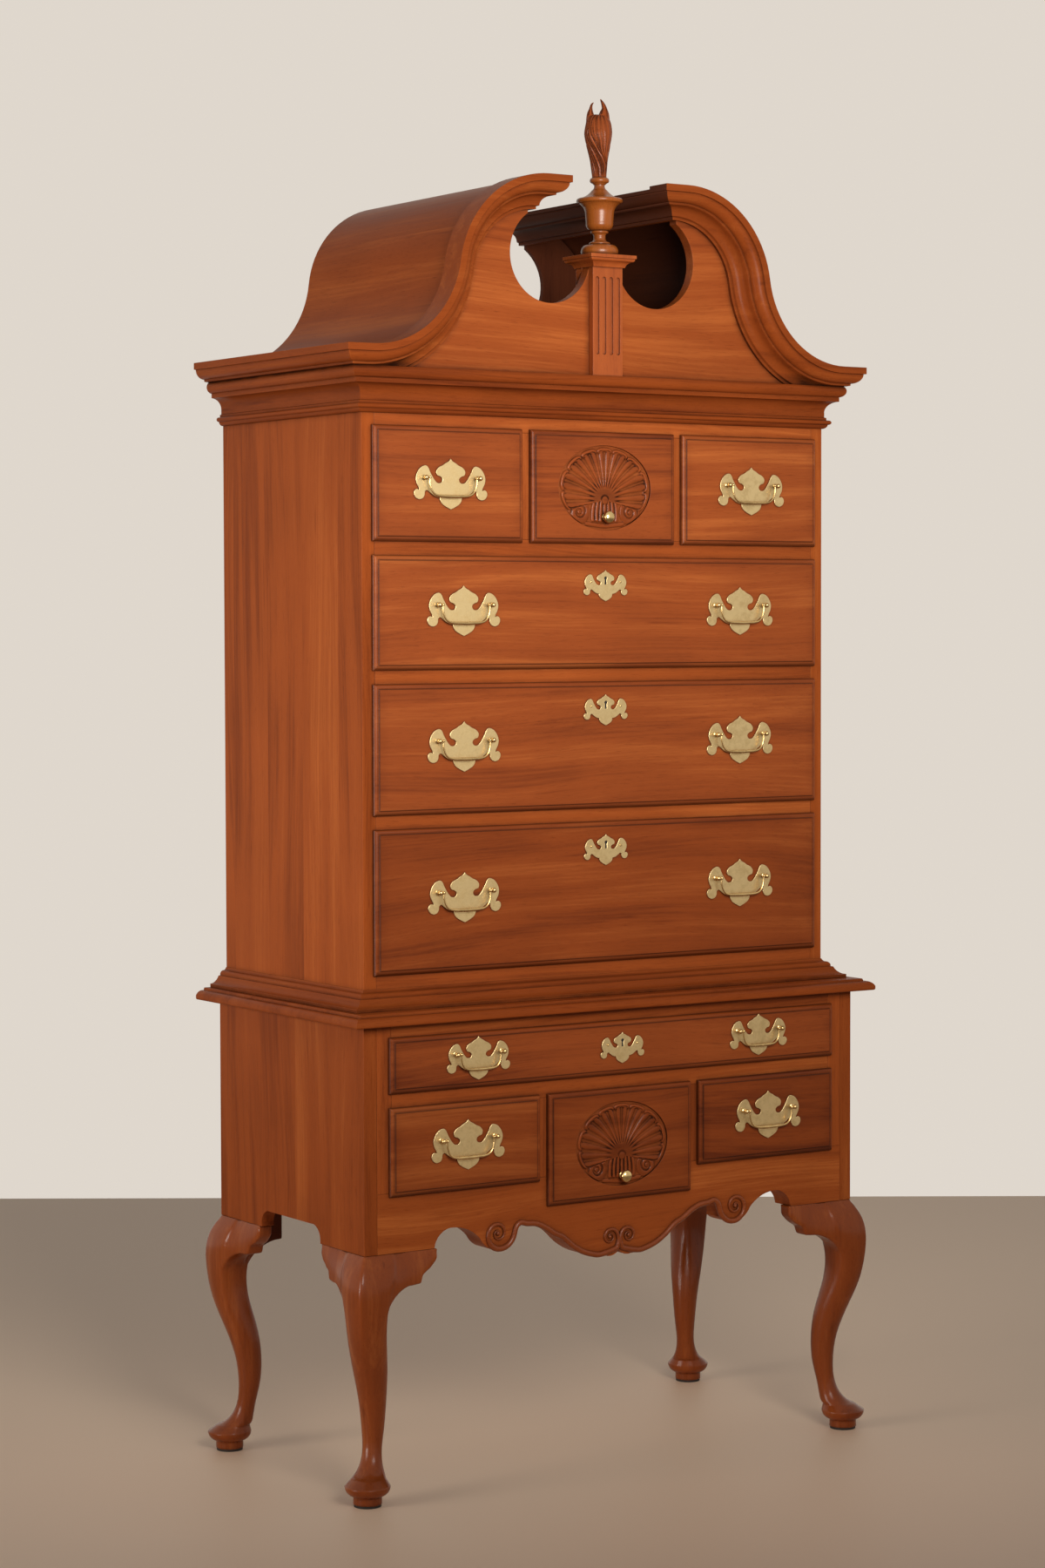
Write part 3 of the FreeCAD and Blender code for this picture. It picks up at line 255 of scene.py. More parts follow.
def plain_material(name, colour, roughness, metal=0.0):
    """A material of one colour, for the stage and as a base to build on."""
    material, _, shader = new_material(name)
    feed(shader, Base_Color=(*colour, 1), Roughness=roughness, Metallic=metal)
    return material


floor_mesh.materials.append(plain_material("plain floor", FLOOR_COLOUR, FLOOR_ROUGHNESS))
print("floor colour", FLOOR_COLOUR)

# %% [markdown]
# ## Light
# Only camera, mirror and refraction rays see the backdrop's full brightness, so it doesn't
# flood the wood.  The light is that of a room with windows: two large soft lamps at about
# the height of the chest, one in front and one to its left, and a weak even fill.

# %% World
BACKDROP_COLOUR = (0.74, 0.68, 0.61, 1)
FILL_COLOUR = (0.93, 0.95, 1.0, 1)
FILL_STRENGTH = 0.165

world = bpy.data.worlds.new("studio")
bpy.context.scene.world = world
world.use_nodes = True
tree = world.node_tree
tree.nodes.clear()
rays = add_node(tree, "ShaderNodeLightPath").outputs
seen = calculate(tree, "MAXIMUM", rays["Is Camera Ray"], rays["Is Transmission Ray"])
mirrored_too = calculate(tree, "MAXIMUM", seen, rays["Is Glossy Ray"])
fill = add_node(tree, "ShaderNodeBackground", Color=FILL_COLOUR, Strength=FILL_STRENGTH).outputs[0]
backdrop = add_node(tree, "ShaderNodeBackground", Color=BACKDROP_COLOUR, Strength=1.0).outputs[0]
choose = add_node(tree, "ShaderNodeMixShader", n0=mirrored_too, n1=fill, n2=backdrop).outputs[0]
add_node(tree, "ShaderNodeOutputWorld", Surface=choose)
print("fill light strength", FILL_STRENGTH)

# %% Lamps
WINDOW_COLOUR = (1.0, 0.96, 0.90)


def soft_lamp(name, place, target, size, watts, spread):
    """A square area lamp that points at a target; spread is the angle of its beam."""
    data = bpy.data.lights.new(name, "AREA")
    data.shape = "SQUARE"
    data.size = size
    data.energy = watts
    data.color = WINDOW_COLOUR
    data.spread = math.radians(spread)
    lamp = new_object(name, data)
    lamp.location = place
    lamp.visible_camera = False
    lamp.rotation_mode = "QUATERNION"
    lamp.rotation_quaternion = (Vector(target) - Vector(place)).to_track_quat("-Z", "Y")


soft_lamp("front window", (-0.75, -2.7, 1.93), (0, 0, 1.85), size=1.2, watts=24, spread=88)
soft_lamp("left window", (-4.2, 0.1, 1.2), (0, 0, 1.28), size=1.6, watts=13, spread=58)

# %% [markdown]
# ## Taking the boards out of the model
# One node of the model may hold several boards.  Each is lifted out as a piece of its own:
# its triangles are merged back into flat faces, so that a bevel can soften its arrises as
# sandpaper does, and it can carry its own grain.  Triangles belong together where an edge
# joins just two of them.  In a mitre two solids share the same triangles, so these come out
# one by one and stay hidden in the joint, and the mouldings are open where they meet.

# %% Find the separate solids of a node
WELD = 2e-6


def mesh_places(mesh):
    """The positions of a mesh's points."""
    places = np.empty(len(mesh.vertices) * 3)
    mesh.vertices.foreach_get("co", places)
    return places.reshape(-1, 3)


def solids_of(node):
    """The vertex positions and the faces of each separate solid of a node, in order of place.

    Triangles that two solids share where they touch come out one by one, as sets of their own.
    """
    mesh = frame["nodes"][node].data
    places = mesh_places(mesh)
    steps = np.round(places / WELD).astype(np.int64)
    _, first, same = np.unique(steps, axis=0, return_index=True, return_inverse=True)
    same = same.reshape(-1)
    faces = [tuple(int(same[v]) for v in polygon.vertices) for polygon in mesh.polygons]
    owner = list(range(len(faces)))

    def root(index):
        while owner[index] != index:
            owner[index] = owner[owner[index]]
            index = owner[index]
        return index

    sides = {}
    for index, face in enumerate(faces):
        for a, b in zip(face, face[1:] + face[:1]):
            sides.setdefault((min(a, b), max(a, b)), []).append(index)
    for shared in sides.values():
        if len(shared) == 2:
            owner[root(shared[0])] = root(shared[1])
    groups = {}
    for index, face in enumerate(faces):
        groups.setdefault(root(index), []).append(face)
    solids = []
    for group in groups.values():
        used = sorted({v for face in group for v in face})
        number = {v: i for i, v in enumerate(used)}
        solids.append((places[first[used]], [tuple(number[v] for v in face) for face in group]))
    solids.sort(key=lambda solid: tuple(np.round(solid[0].mean(0), 3)))
    return solids


print("upper rails:", len(solids_of("upper_face_rails")), "boards")

# %% [markdown]
# ## Grain
# Wood looks wrong as soon as its grain runs across a board.  Every piece therefore stores,
# at each point, its own coordinates: metres along the grain, across it, and through the
# board, shifted by a random amount so that no two boards show the same figure.  It also
# stores how far each point lies from the low corner of the piece, and the size of the
# piece, from which a finish can tell where its edges are.

# %% Store a piece's own grain coordinates
AXES = {"x": (0, 2, 1), "y": (1, 0, 2), "z": (2, 1, 0)}
random.seed(17)


def put_attribute(mesh, name, kind, values):
    """Stores one value, or one vector, at every point of a mesh."""
    attribute = mesh.attributes.new(name, kind, "POINT")
    attribute.data.foreach_set("vector" if kind == "FLOAT_VECTOR" else "value",
                               np.asarray(values, np.float32).ravel())


def lay_grain(mesh, along):
    """Writes the grain coordinates, one random board tone and the edge coordinates into a mesh."""
    places = mesh_places(mesh)
    shift = np.array([random.uniform(-5, 5) for _ in range(3)])
    put_attribute(mesh, "grain", "FLOAT_VECTOR", places[:, AXES[along]] + shift)
    put_attribute(mesh, "tone", "FLOAT", np.full(len(places), random.random()))
    put_attribute(mesh, "corner", "FLOAT_VECTOR", places - places.min(0))
    put_attribute(mesh, "span", "FLOAT_VECTOR", np.tile(places.max(0) - places.min(0), (len(places), 1)))
    return mesh


def longest_side(places):
    """The letter of the axis along which a board is longest."""
    return "xyz"[int(np.argmax(places.max(0) - places.min(0)))]


print("grain axes", AXES)

# %% Turn a solid into a softened piece
ARRIS = 0.0008
FLAT = math.radians(0.1)
CREASE = math.radians(32)
TURNED_CREASE = math.radians(50)
CARVED_CREASE = math.radians(60)
TINY = 0.00003
pieces_made = []


def finish_mesh(work, mesh, crease, flat_front=False):
    """Turns the faces outwards, smooths them up to their creases, and writes them into a mesh.

    flat_front leaves the faces flat that look straight forward or back.
    """
    bmesh.ops.recalc_face_normals(work, faces=work.faces)
    for face in work.faces:
        face.smooth = not flat_front or abs(face.normal.y) < 0.99
    for edge in work.edges:
        edge.smooth = edge.is_manifold and edge.calc_face_angle(0) < crease
    work.to_mesh(mesh)
    work.free()


def shape_mesh(places, faces, crease=CREASE, merge=True):
    """A mesh with smooth curves and sharp creases; merge joins its triangles into flat faces."""
    mesh = bpy.data.meshes.new("shape")
    mesh.from_pydata([tuple(p) for p in places], [], faces)
    work = bmesh.new()
    work.from_mesh(mesh)
    if merge:
        bmesh.ops.remove_doubles(work, verts=work.verts, dist=TINY)
        bmesh.ops.dissolve_limit(work, angle_limit=FLAT, verts=work.verts, edges=work.edges)
    finish_mesh(work, mesh, crease)
    return mesh


def soften(thing, width=ARRIS):
    """Rounds the sharp arrises of a piece a little."""
    bevel = thing.modifiers.new("arris", "BEVEL")
    bevel.width = width
    bevel.segments = 2
    bevel.limit_method = "ANGLE"
    bevel.angle_limit = CREASE
    bevel.harden_normals = True
    bevel.use_clamp_overlap = True
    return thing


def add_piece(name, mesh, along, body, slot, material, *nodes):
    """A piece of the chest: its grain, material and body, and what it stands for; slot is not used."""
    mesh.name = name
    thing = new_object(name, lay_grain(mesh, along))
    thing.data.materials.append(material)
    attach(thing, body)
    if nodes:
        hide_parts(*nodes)
    pieces_made.append(thing.name)
    return thing


print("arris", ARRIS * 1000, "mm")

# %% [markdown]
# ## The cherry finish
# The wood is cherry under a red-brown stain.  Three things make it read as wood: soft
# bands of lighter and darker growth that follow the board, fine streaks and short pores
# inside them, and a slow cloudy shimmer that runs across the grain.  The hollows and the
# gaps between parts are darkened, partly by the dark glaze that the finisher rubbed in and
# partly as painted shade; each panel is darker towards its edges; and the arrises are paler,
# partly where the lacquer is rubbed thin and partly as a painted highlight.  The parts of
# this recipe are node groups, so every wood material shares them.

# %% The wood figure
COLOUR, NUMBER = "NodeSocketColor", "NodeSocketFloat"
BOARD_JUMP = 7.0

figure, given, made = new_group(
    "cherry figure",
    [("Light", COLOUR, (0.40, 0.13, 0.045, 1)), ("Middle", COLOUR, (0.29, 0.08, 0.026, 1)),
     ("Dark", COLOUR, (0.13, 0.03, 0.011, 1)), ("Band Width", NUMBER, 0.045), ("Contrast", NUMBER, 1.0),
     ("Board Width", NUMBER, 50.0)],
    [("Color", COLOUR), ("Streak", NUMBER), ("Pore", NUMBER)])
laid = stored(figure, "grain")
# glued boards: each strip of the board's width gets a figure and a tone of its own
across = add_node(figure, "ShaderNodeSeparateXYZ", n0=laid).outputs[1]
strip = calculate(figure, "FLOOR", calculate(figure, "DIVIDE", across, given["Board Width"]))
chance = add_node(figure, "ShaderNodeTexWhiteNoise", {"noise_dimensions": "1D"}, n1=strip).outputs
jump = add_node(figure, "ShaderNodeVectorMath", {"operation": "SCALE"}, n0=chance["Color"], Scale=BOARD_JUMP)
grain = vector_math(figure, "ADD", laid, jump.outputs[0])
tone = calculate(figure, "ADD", stored(figure, "tone", "Fac"), chance["Value"])

swing = vector_math(figure, "MULTIPLY", grain, (1.1, 3.0, 3.0))
sway = add_node(figure, "ShaderNodeTexNoise", Vector=swing, Scale=1.0, Detail=1.0).outputs["Color"]
swayed = vector_math(figure, "MULTIPLY_ADD", sway, (0.0, 0.11, 0.05), grain)
per_band = calculate(figure, "DIVIDE", 1.0, given["Band Width"])
bands = noise(figure, swayed, (0.06, 1, 1), 4.0, 0.55, 0.3, per_band)
streaks = noise(figure, swayed, (3.0, 230, 230), 4.0, 0.6)
pores = noise(figure, swayed, (38, 1500, 1500), 1.0)
cloud = noise(figure, grain, (6.5, 3.0, 3.0), 2.0)
flecks = noise(figure, swayed, (5.5, 75, 75), 2.0)

growth = remap(figure, bands, 0.32, 0.68, 0.0, 1.0)
shade = calculate(figure, "MULTIPLY_ADD", growth, 0.42, 0.015)
shade = calculate(figure, "MULTIPLY_ADD", streaks, 0.55, shade)
shade = calculate(figure, "MULTIPLY_ADD", calculate(figure, "SUBTRACT", tone, 1.0), 0.20, shade)
shade = calculate(figure, "MULTIPLY_ADD", calculate(figure, "SUBTRACT", shade, 0.5), given["Contrast"], 0.5)
darker = remap(figure, shade, 0.0, 0.5, 0.0, 1.0)
lower = blend_colours(figure, "MIX", darker, given["Dark"], given["Middle"])
upper = blend_colours(figure, "MIX", remap(figure, shade, 0.5, 1.0, 0.0, 1.0), lower, given["Light"])
shimmer = calculate(figure, "MULTIPLY_ADD", cloud, 0.26, 0.87)
cloudy = add_node(figure, "ShaderNodeHueSaturation", Color=upper, Value=shimmer).outputs[0]
gum_mask = remap(figure, flecks, 0.66, 0.80, 0.0, 0.45)
gum = blend_colours(figure, "MULTIPLY", gum_mask, cloudy, (0.42, 0.30, 0.26, 1))
pore_mask = remap(figure, pores, 0.60, 0.74, 0.0, 0.5)
pored = blend_colours(figure, "MULTIPLY", pore_mask, gum, (0.45, 0.34, 0.30, 1))
feed(made, Color=pored, Streak=streaks, Pore=pore_mask)
print("figure group has", len(figure.nodes), "nodes")

# %% Glaze and painted shade in the hollows, darker edges, wear and a painted highlight on the arrises
EDGE_TINT = (0.34, 0.24, 0.22, 1)
# how much paler the arrises get, partly as wear and partly as a painted highlight
WORN_AND_HIGHLIT_TINT = (1.55, 1.75, 1.9, 1)
# how dark the glaze and painted shade are in a lip's groove and on its outer arris
GROOVE_GLAZE_AND_SHADE, ARRIS_GLAZE_AND_SHADE = 0.62, 0.6

aging_and_shading, given, made = new_group(
    "glaze, wear, painted shade and highlight",
    [("Color", COLOUR, (0.3, 0.08, 0.03, 1)), ("Glaze", COLOUR, (0.020, 0.006, 0.003, 1)),
     ("Reach", NUMBER, 0.012), ("Glaze Amount", NUMBER, 0.8), ("Wear Amount", NUMBER, 0.25),
     ("Edge Reach", NUMBER, 0.03), ("Edge Amount", NUMBER, 0.0), ("Lip Width", NUMBER, 0.0)],
    [("Color", COLOUR), ("Hollow", NUMBER)])
# the hollows and the gaps between parts, found by occlusion, take the dark glaze and painted shade
hidden = remap(aging_and_shading, openness(aging_and_shading, given["Reach"]), 0.96, 0.42, 0.0, 1.0)
hollow = calculate(aging_and_shading, "MAXIMUM", hidden, stored(aging_and_shading, "hollow", "Fac"))
mottle = noise(aging_and_shading, stored(aging_and_shading, "grain"), (22, 55, 55), 2.0)
glaze_and_shade = calculate(aging_and_shading, "MULTIPLY", hollow, remap(aging_and_shading, mottle, 0.35, 0.65, 0.7, 1.0))
glaze_and_shade = calculate(aging_and_shading, "MULTIPLY", glaze_and_shade, given["Glaze Amount"])

from_low = stored(aging_and_shading, "corner")
from_high = vector_math(aging_and_shading, "SUBTRACT", stored(aging_and_shading, "span"), from_low)
corner = add_node(aging_and_shading, "ShaderNodeSeparateXYZ", n0=from_low).outputs
other = add_node(aging_and_shading, "ShaderNodeSeparateXYZ", n0=from_high).outputs
sideways = calculate(aging_and_shading, "MINIMUM", corner[0], other[0])
upright = calculate(aging_and_shading, "MINIMUM", corner[2], other[2])
to_edge = calculate(aging_and_shading, "MINIMUM", sideways, upright)
wavy = calculate(aging_and_shading, "MULTIPLY_ADD", calculate(aging_and_shading, "SUBTRACT", mottle, 0.5), 0.018, to_edge)
rim = remap(aging_and_shading, wavy, 0.002, given["Edge Reach"], 1.0, 0.0)
rim = calculate(aging_and_shading, "MULTIPLY", rim, given["Edge Amount"])
edge_colour = blend_colours(aging_and_shading, "MULTIPLY", 1.0, given["Color"], EDGE_TINT)
shaded = blend_colours(aging_and_shading, "MIX", rim, given["Color"], edge_colour)

# the groove inside a drawer's lip and its outer arris are darkened as glaze and painted shade, and the dark
# band along its lower side is a painted shadow under the lip
lip_width = given["Lip Width"]
has_lip = remap(aging_and_shading, lip_width, 0.0, 0.001, 0.0, 1.0)
from_groove = calculate(aging_and_shading, "ABSOLUTE", calculate(aging_and_shading, "SUBTRACT", to_edge, lip_width))
groove = remap(aging_and_shading, from_groove, 0.0004, 0.0016, GROOVE_GLAZE_AND_SHADE, 0.0)
outer_arris = remap(aging_and_shading, to_edge, 0.0004, 0.0022, ARRIS_GLAZE_AND_SHADE, 0.0)
in_lip = remap(aging_and_shading, calculate(aging_and_shading, "SUBTRACT", lip_width, corner[2]), -0.0008, 0.0008, 0.0, 1.0)
painted_shadow_under_lip = calculate(aging_and_shading, "MULTIPLY", remap(aging_and_shading, corner[2], 0.0085, 0.002, 0.12, 0.55), in_lip)
lip_glaze_and_shade = calculate(aging_and_shading, "MAXIMUM", calculate(aging_and_shading, "MAXIMUM", groove, outer_arris), painted_shadow_under_lip)
glaze_and_shade = calculate(aging_and_shading, "MAXIMUM", glaze_and_shade, calculate(aging_and_shading, "MULTIPLY", lip_glaze_and_shade, has_lip))
# the glaze colour paints both the glaze and the shade in the hollows
darkened = blend_colours(aging_and_shading, "MIX", glaze_and_shade, shaded, given["Glaze"])

# the arrises are made paler, partly as worn lacquer and partly as a painted highlight
edge = openness(aging_and_shading, 0.0025, only_local=True, inside=True)
rubbed = calculate(aging_and_shading, "MULTIPLY", remap(aging_and_shading, edge, 0.8, 0.3, 0.0, 1.0), given["Wear Amount"])
pale = blend_colours(aging_and_shading, "MULTIPLY", 1.0, given["Color"], WORN_AND_HIGHLIT_TINT)
worn_and_highlit = blend_colours(aging_and_shading, "MIX", rubbed, darkened, pale)
feed(made, Color=worn_and_highlit, Hollow=hollow)
print("aging group has", len(aging_and_shading.nodes), "nodes")


# %% Wood materials
def wood(name, colours, band=0.05, contrast=1.0, glaze=0.8, reach=0.012, wear=0.25, gloss=0.36, coat=0.025,
         board=50.0, edge_reach=0.03, edge=0.0, shine=0.09, lip=0.0):
    """A lacquered wood: figure, glaze with painted shade, wear with a painted highlight, pores in relief and
    a thin coat.
    """
    light, middle, dark = colours
    material, tree, shader = new_material(name)
    look = add_node(tree, "ShaderNodeGroup", {"node_tree": figure}, Light=(*light, 1), Middle=(*middle, 1),
                    Dark=(*dark, 1), Band_Width=band, Contrast=contrast, Board_Width=board).outputs
    aged_and_shaded = add_node(tree, "ShaderNodeGroup", {"node_tree": aging_and_shading}, Color=look["Color"], Reach=reach,
                   Glaze_Amount=glaze, Wear_Amount=wear, Edge_Reach=edge_reach, Edge_Amount=edge,
                   Lip_Width=lip).outputs
    rough = calculate(tree, "MULTIPLY_ADD", aged_and_shaded["Hollow"], 0.18, gloss - 0.08)
    rough = calculate(tree, "MULTIPLY_ADD", look["Streak"], 0.16, rough)
    # the polish stays on what a cloth can reach, so the hollows are matt
    polish = calculate(tree, "MULTIPLY_ADD", aged_and_shaded["Hollow"], -coat, coat)
    relief = calculate(tree, "MULTIPLY_ADD", look["Pore"], -1.0, look["Streak"])
    give_relief(shader, relief, 0.12, 0.0006)
    feed(shader, Base_Color=aged_and_shaded["Color"], Roughness=rough, Specular_IOR_Level=shine, Coat_Weight=polish,
         Coat_Roughness=0.2)
    return material


LIP = 0.0085
CHERRY = ((0.470, 0.124, 0.027), (0.315, 0.068, 0.013), (0.150, 0.028, 0.006))
GOLDEN_CHERRY = ((0.430, 0.135, 0.024), (0.300, 0.078, 0.012), (0.150, 0.034, 0.006))
CARVED_CHERRY = ((0.390, 0.098, 0.024), (0.265, 0.056, 0.013), (0.130, 0.024, 0.006))
FRONT_CHERRY = ((0.405, 0.107, 0.024), (0.270, 0.058, 0.012), (0.130, 0.024, 0.006))
DARK_CHERRY = ((0.350, 0.088, 0.019), (0.235, 0.048, 0.009), (0.115, 0.021, 0.005))
# near black: the stain inside the bonnet together with painted shade
STAIN_AND_SHADE = ((0.130, 0.034, 0.012), (0.090, 0.022, 0.008), (0.050, 0.011, 0.005))
POPLAR = ((0.52, 0.36, 0.20), (0.44, 0.28, 0.14), (0.33, 0.19, 0.09))
case_wood = wood("cherry case", CHERRY, 0.055, 1.15)
side_wood = wood("cherry glued boards", CHERRY, 0.05, 0.9, board=0.118, shine=0.04)
# the lower case's sides are a darker copy of the glued boards: painted shade, darker towards the bottom
shaded_lower_side_wood = wood("cherry lower boards darkened as painted shade", FRONT_CHERRY, 0.05, 0.9, board=0.118, shine=0.04)
bonnet_wood = wood("cherry tympanum", FRONT_CHERRY, 0.055, 1.15, edge_reach=0.06, edge=0.18)
front_wood = wood("cherry drawer fronts", FRONT_CHERRY, 0.04, 1.05, glaze=0.95, reach=0.009,
                  edge=0.22, shine=0.14, lip=LIP)
# a darker copy for the lower drawer fronts: painted shade, darker towards the bottom
shaded_lower_front_wood = wood("cherry drawer fronts darkened as painted shade", DARK_CHERRY, 0.04, 1.05, glaze=0.95, reach=0.009,
                       edge=0.22, shine=0.14, lip=LIP)
moulding_wood = wood("cherry mouldings", DARK_CHERRY, 0.03, 0.8, glaze=1.0, reach=0.020, coat=0.03,
                     shine=0.04)
roof_wood = wood("cherry bonnet boards", DARK_CHERRY, 0.05, 0.9, board=0.16, shine=0.03)
carved_wood = wood("cherry carving", CARVED_CHERRY, 0.03, 0.7, glaze=1.0, reach=0.0055, wear=0.45,
                   gloss=0.30, coat=0.22, shine=0.03)
bead_wood = wood("cherry bead", DARK_CHERRY, 0.03, 0.7, glaze=1.0, reach=0.009, wear=0.4, gloss=0.28,
                 shine=0.3)
leg_wood = wood("cherry legs", DARK_CHERRY, 0.04, 0.9, gloss=0.22, shine=0.2, coat=0.03)
plinth_wood = wood("cherry plinth", CHERRY, 0.03, 0.8, reach=0.004, gloss=0.30, shine=0.3)
turned_wood = wood("cherry turning", GOLDEN_CHERRY, 0.03, 0.8, reach=0.010, gloss=0.28, shine=0.35)
inner_wood = wood("plain inner wood", POPLAR, 0.03, 0.7, glaze=0.35, reach=0.02, wear=0.0, gloss=0.6,
                  coat=0.0)
stained_and_shaded_wood = wood("dark stain and painted shade inside", STAIN_AND_SHADE, 0.03, 0.7, glaze=0.35, reach=0.02, wear=0.0,
                    gloss=0.55, coat=0.0)
print("wood materials", [m.name for m in (case_wood, side_wood, front_wood, moulding_wood, carved_wood)])

# %% [markdown]
# ## Antique brass
# The pulls are cast brass with a satin face that has gone a little green-brown.  Polish
# stays on the arrises, where hands rub, and the patina is darkest round the posts.

# %% Brass
def patinated(name, bright, dull, roughness, brushed):
    """Brass whose patina fills its hollows and clouds its faces."""
    material = plain_material(name, bright, roughness, 1.0)
    tree = material.node_tree
    laid = stored(tree, "grain")
    cloud = noise(tree, laid, (70, 70, 70), 3.0, 0.6)
    brush = noise(tree, laid, (120, 1500, 1500), 2.0)
    edge = openness(tree, 0.0012, only_local=True, inside=True)
    filled = remap(tree, openness(tree, 0.010), 0.85, 0.3, 0.0, 0.85)
    aged = calculate(tree, "ADD", remap(tree, cloud, 0.38, 0.72, 0.0, 0.45), filled)
    rubbed = calculate(tree, "MULTIPLY", remap(tree, edge, 0.75, 0.35, 0.0, 1.0), 0.8)
    amount = calculate(tree, "SUBTRACT", aged, rubbed)
    amount.node.use_clamp = True
    colour = blend_colours(tree, "MIX", amount, (*bright, 1), (*dull, 1))
    rough = calculate(tree, "MULTIPLY_ADD", amount, 0.22, roughness)
    shader = feed(tree.nodes["Principled BSDF"], Base_Color=colour, Roughness=rough)
    give_relief(shader, calculate(tree, "MULTIPLY_ADD", brush, brushed, cloud), 0.16, 0.0004)
    return material


def speckled(name, colour, metal, low, high):
    """A dark material with a fine uneven roughness, from low to high, and relief."""
    material = plain_material(name, colour, high, metal)
    tree = material.node_tree
    grit = noise(tree, stored(tree, "grain"), None, 3.0, 0.6, scale=420.0)
    shader = feed(tree.nodes["Principled BSDF"], Roughness=remap(tree, grit, 0.3, 0.7, low, high))
    give_relief(shader, grit, 0.25, 0.0003)
    return material


plate_brass = patinated("satin plate brass", (0.80, 0.62, 0.32), (0.40, 0.27, 0.11), 0.36, 1.2)
bail_brass = patinated("handled bail brass", (0.70, 0.50, 0.23), (0.22, 0.13, 0.05), 0.22, 0.3)
knob_brass = patinated("polished knob brass", (0.74, 0.55, 0.25), (0.30, 0.19, 0.07), 0.18, 0.2)
iron = speckled("dark glide", (0.03, 0.024, 0.02), 0.6, 0.45, 0.75)
# a near-black plate paints the shadow inside each keyhole
painted_keyhole_shadow = speckled("painted keyhole shadow", (0.006, 0.004, 0.003), 0.0, 0.7, 0.95)
print("brasses", plate_brass.name, bail_brass.name, knob_brass.name)

# %% [markdown]
# ## Boards and mouldings
# The case is joined from flat boards, and its mouldings are planed lengths, mitred at the
# corners.  Their shapes are right in the model, so each is lifted out, softened, and given
# a grain along its length.  The roof boards run from front to back, and the legs stand
# upright.  Inside the bonnet the wood is stained nearly black, and that dark also paints
# the shade in there.

# %% Lift out the case
# the record slot, the finish, and the axis of the grain where it isn't the longest side
CASE_NODES = {
    "upper_case_sides": ("case_wood", side_wood, "z"),
    "upper_face_rails": ("case_wood", case_wood),
    "tympanum": ("case_wood", bonnet_wood, "x"),
    "bonnet_roof": ("case_wood", roof_wood, "y"),
    "lower_face_frame": ("case_wood", case_wood),
    "lower_case_top": ("case_wood", moulding_wood, "x"),
    "waist_moulding": ("moulding_wood", moulding_wood),
    "cornice_moulding": ("moulding_wood", moulding_wood),
    "swan_neck_mouldings": ("moulding_wood", moulding_wood),
    "finial_plinth": ("case_wood", plinth_wood, "z"),
    "lower_case_panels": ("case_wood", shaded_lower_side_wood, "z"),
    "upper_dust_boards": ("inner_wood", inner_wood, "x"),
    "lower_dust_boards": ("inner_wood", inner_wood, "x"),
    "upper_back_boards": ("inner_wood", inner_wood, "z"),
}


def lift_out(node, slot, material, along=None, body="case"):
    """Every solid of a node as a piece of its own."""
    lifted = []
    for index, (places, faces) in enumerate(solids_of(node)):
        mesh = shape_mesh(places, faces)
        grain_axis = along or longest_side(places)
        piece = add_piece(f"{node}_{index}", mesh, grain_axis, body, slot, material, node)
        lifted.append(soften(piece))
    return lifted


case_pieces = {node: lift_out(node, *finish) for node, finish in CASE_NODES.items()}
print("pieces so far", len(pieces_made))

# %% Stain the inside of the bonnet dark, which also paints its shade
TYMPANUM_BACK = -0.18
crown_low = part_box("bonnet_roof")[0][2]


def stain_and_shade(things, inside):
    """Gives the faces that point to the inside the dark stain, which also paints the shade there."""
    for thing in things:
        thing.data.materials.append(stained_and_shaded_wood)
        for face in thing.data.polygons:
            if inside(face.normal, face.center):
                face.material_index = len(thing.data.materials) - 1


stain_and_shade(case_pieces["bonnet_roof"], lambda normal, centre: normal.z < -0.05 or normal.x * centre.x < -0.3)
stain_and_shade(case_pieces["swan_neck_mouldings"],
      lambda normal, centre: centre.y > TYMPANUM_BACK and normal.x * centre.x < -0.0005)
stain_and_shade(case_pieces["tympanum"], lambda normal, centre: normal.y > 0.9)
stain_and_shade(case_pieces["upper_back_boards"], lambda normal, centre: normal.y < 0.9 and centre.z > crown_low)
print("stained and shaded the bonnet's inside above", round(crown_low, 3), "m")

# %% Lift out the drawers
DRAWERS = [name.removesuffix("_drawer") for name in frame["bodies"] if name.endswith("_drawer")]
# the lower fronts get the darker copy: painted shade, darker towards the bottom
SHADED_LOWER_FRONTS = ("upper_deep", "lower_left", "lower_right", "lower_shell")
for drawer in DRAWERS:
    board_wood = shaded_lower_front_wood if drawer in SHADED_LOWER_FRONTS else front_wood
    lift_out(f"{drawer}_front", "drawer_front_wood", board_wood, "x", f"{drawer}_drawer")
    lift_out(f"{drawer}_box", "inner_wood", inner_wood, body=f"{drawer}_drawer")
print("drawers", DRAWERS)

# %% Lift out the glides
GLIDE_ARRIS = 0.0005
glides = solids_of("foot_glides")
for index, (places, faces) in enumerate(glides):
    mesh = shape_mesh(places, faces)
    glide = add_piece(f"foot_glide_{index}", mesh, "z", "case", "glide_metal", iron, "foot_glides")
    soften(glide, GLIDE_ARRIS)
print("glides", len(glides))

# %% [markdown]
# ## Sweeping a round section
# Beads, bails and flames are all the same job: a rounded section that follows a line and
# gets thicker and thinner on the way.  One function does it.  It carries a frame along the
# line so that the section never twists, and closes both ends.  A lathe is the same net of
# rings, and what is turned on it is given as pairs of a radius and a height.

